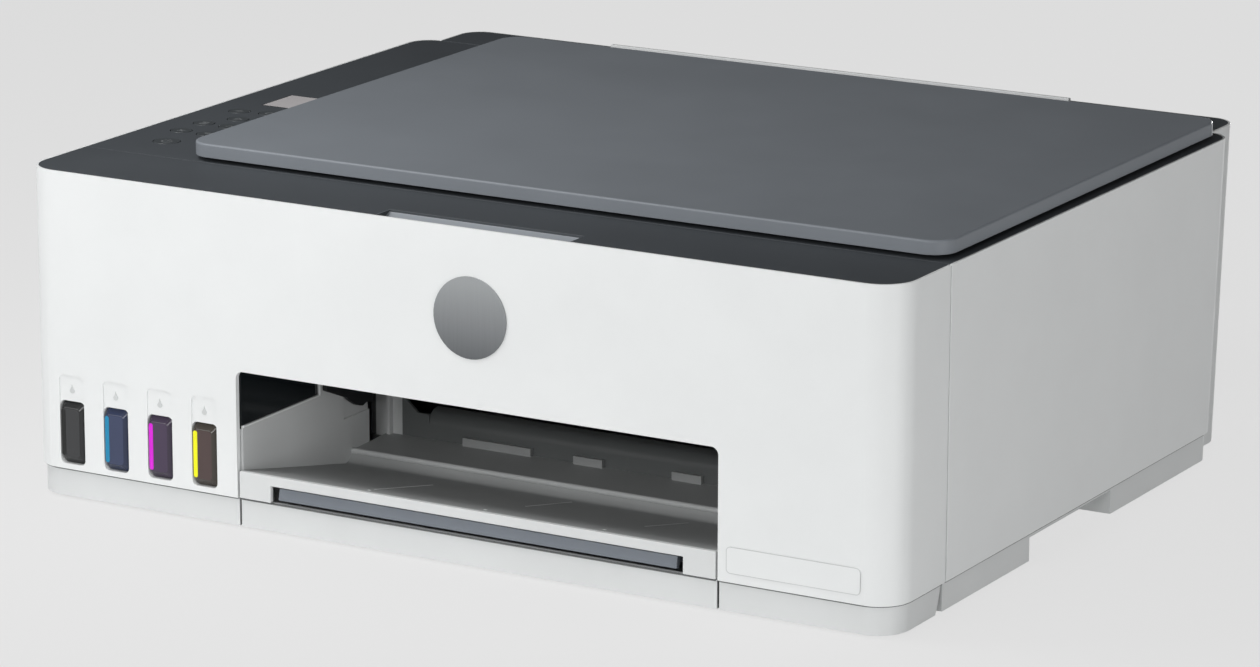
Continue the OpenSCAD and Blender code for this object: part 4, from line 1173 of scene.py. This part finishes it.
def floor_paint():
    """Matt pale paper: it takes shadows, and part of its paleness is its own to the eye."""
    material = emptied(bpy.data.materials.new("paper_pale_seamless"))
    clouds = noise(material, object_place(material), 0.8)
    tone = ramp(material, clouds, linear("#e6e6e6"), linear("#e8e8e8"))
    sheet = add_node(material, "ShaderNodeBsdfDiffuse", {"Color": tone})
    glow = add_node(material, "ShaderNodeEmission", {"Color": tone})
    mix = add_node(material, "ShaderNodeMixShader", {
        0: seen_directly(material, OWN_PALENESS), 1: sheet.outputs[0], 2: glow.outputs[0]})
    add_node(material, "ShaderNodeOutputMaterial", {"Surface": mix.outputs[0]})
    return material


def studio():
    """The world: soft even light, a little stronger from the front."""
    world = emptied(bpy.data.worlds.new("studio"))
    toward = add_node(world, "ShaderNodeTexCoord").outputs["Generated"]
    depth = add_node(world, "ShaderNodeSeparateXYZ", {"Vector": toward}).outputs["Y"]
    level = add_node(world, "ShaderNodeMapRange", {
        "Value": depth, "From Min": -1.0, "From Max": 0.7, "To Min": 0.36, "To Max": 0.05})
    light = add_node(world, "ShaderNodeBackground", {"Strength": level.outputs["Result"]})
    add_node(world, "ShaderNodeOutputWorld", {"Surface": light.outputs[0]})
    return world


class PRINTER_OT_stage(bpy.types.Operator):
    """Sets the floor, the world, the lamps and the camera"""

    bl_idname = "printer.stage"
    bl_label = "Stage"

    def execute(self, context):
        scene = context.scene
        shape = bmesh.new()
        bmesh.ops.create_grid(shape, x_segments=1, y_segments=1, size=FLOOR_SIZE)
        mesh = bpy.data.meshes.new("floor")
        shape.to_mesh(mesh)
        shape.free()
        mesh.materials.append(floor_paint())
        floor = bpy.data.objects.new("floor", mesh)
        scene.collection.objects.link(floor)

        scene.world = studio()
        lamp("sun", "SUN", SUN_STRENGTH, SUN_PLACE, angle=math.radians(SUN_ANGLE))
        for name, energy, place, width, height, spread in BOXES:
            lamp(name, "AREA", energy, place, shape="RECTANGLE", size=width, size_y=height,
                 spread=math.radians(spread))

        data = bpy.data.cameras.new("camera")
        data.sensor_width = 36.0
        data.lens = settings().camera_lens / MM
        data.shift_x = 0.0029
        data.clip_start = 0.05
        camera = bpy.data.objects.new("camera", data)
        right = Vector(CAMERA_RIGHT).normalized()
        ahead = Vector(CAMERA_AHEAD).normalized()
        up = right.cross(ahead).normalized()
        turn = Matrix((right, up, -ahead)).transposed().to_4x4()
        camera.matrix_world = Matrix.Translation(CAMERA_PLACE) @ turn
        scene.collection.objects.link(camera)
        scene.camera = camera
        scene.view_settings.view_transform = "Standard"
        return {"FINISHED"}


STEPS = (PRINTER_OT_casing, PRINTER_OT_windows, PRINTER_OT_top, PRINTER_OT_keys,
         PRINTER_OT_bay, PRINTER_OT_inside, PRINTER_OT_stage)


class PRINTER_PT_sidebar(bpy.types.Panel):
    """Lists the printer's operators"""

    bl_idname = "PRINTER_PT_sidebar"
    bl_label = "Printer"
    bl_space_type = "VIEW_3D"
    bl_region_type = "UI"
    bl_category = "Printer"

    def draw(self, context):
        values = context.scene.printer_settings
        for name in PrinterSettings.__annotations__:
            self.layout.prop(values, name)
        for step in STEPS:
            self.layout.operator(step.bl_idname)


CLASSES = (PrinterSettings,) + STEPS + (PRINTER_PT_sidebar,)


def register():
    for kind in CLASSES:
        bpy.utils.register_class(kind)
    bpy.types.Scene.printer_settings = PointerProperty(type=PrinterSettings)


def unregister():
    del bpy.types.Scene.printer_settings
    for kind in reversed(CLASSES):
        bpy.utils.unregister_class(kind)


def main():
    """Registers the add-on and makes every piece."""
    register()
    for step in STEPS:
        group, name = step.bl_idname.split(".")
        getattr(getattr(bpy.ops, group), name)()


if __name__ == "__main__":
    main()
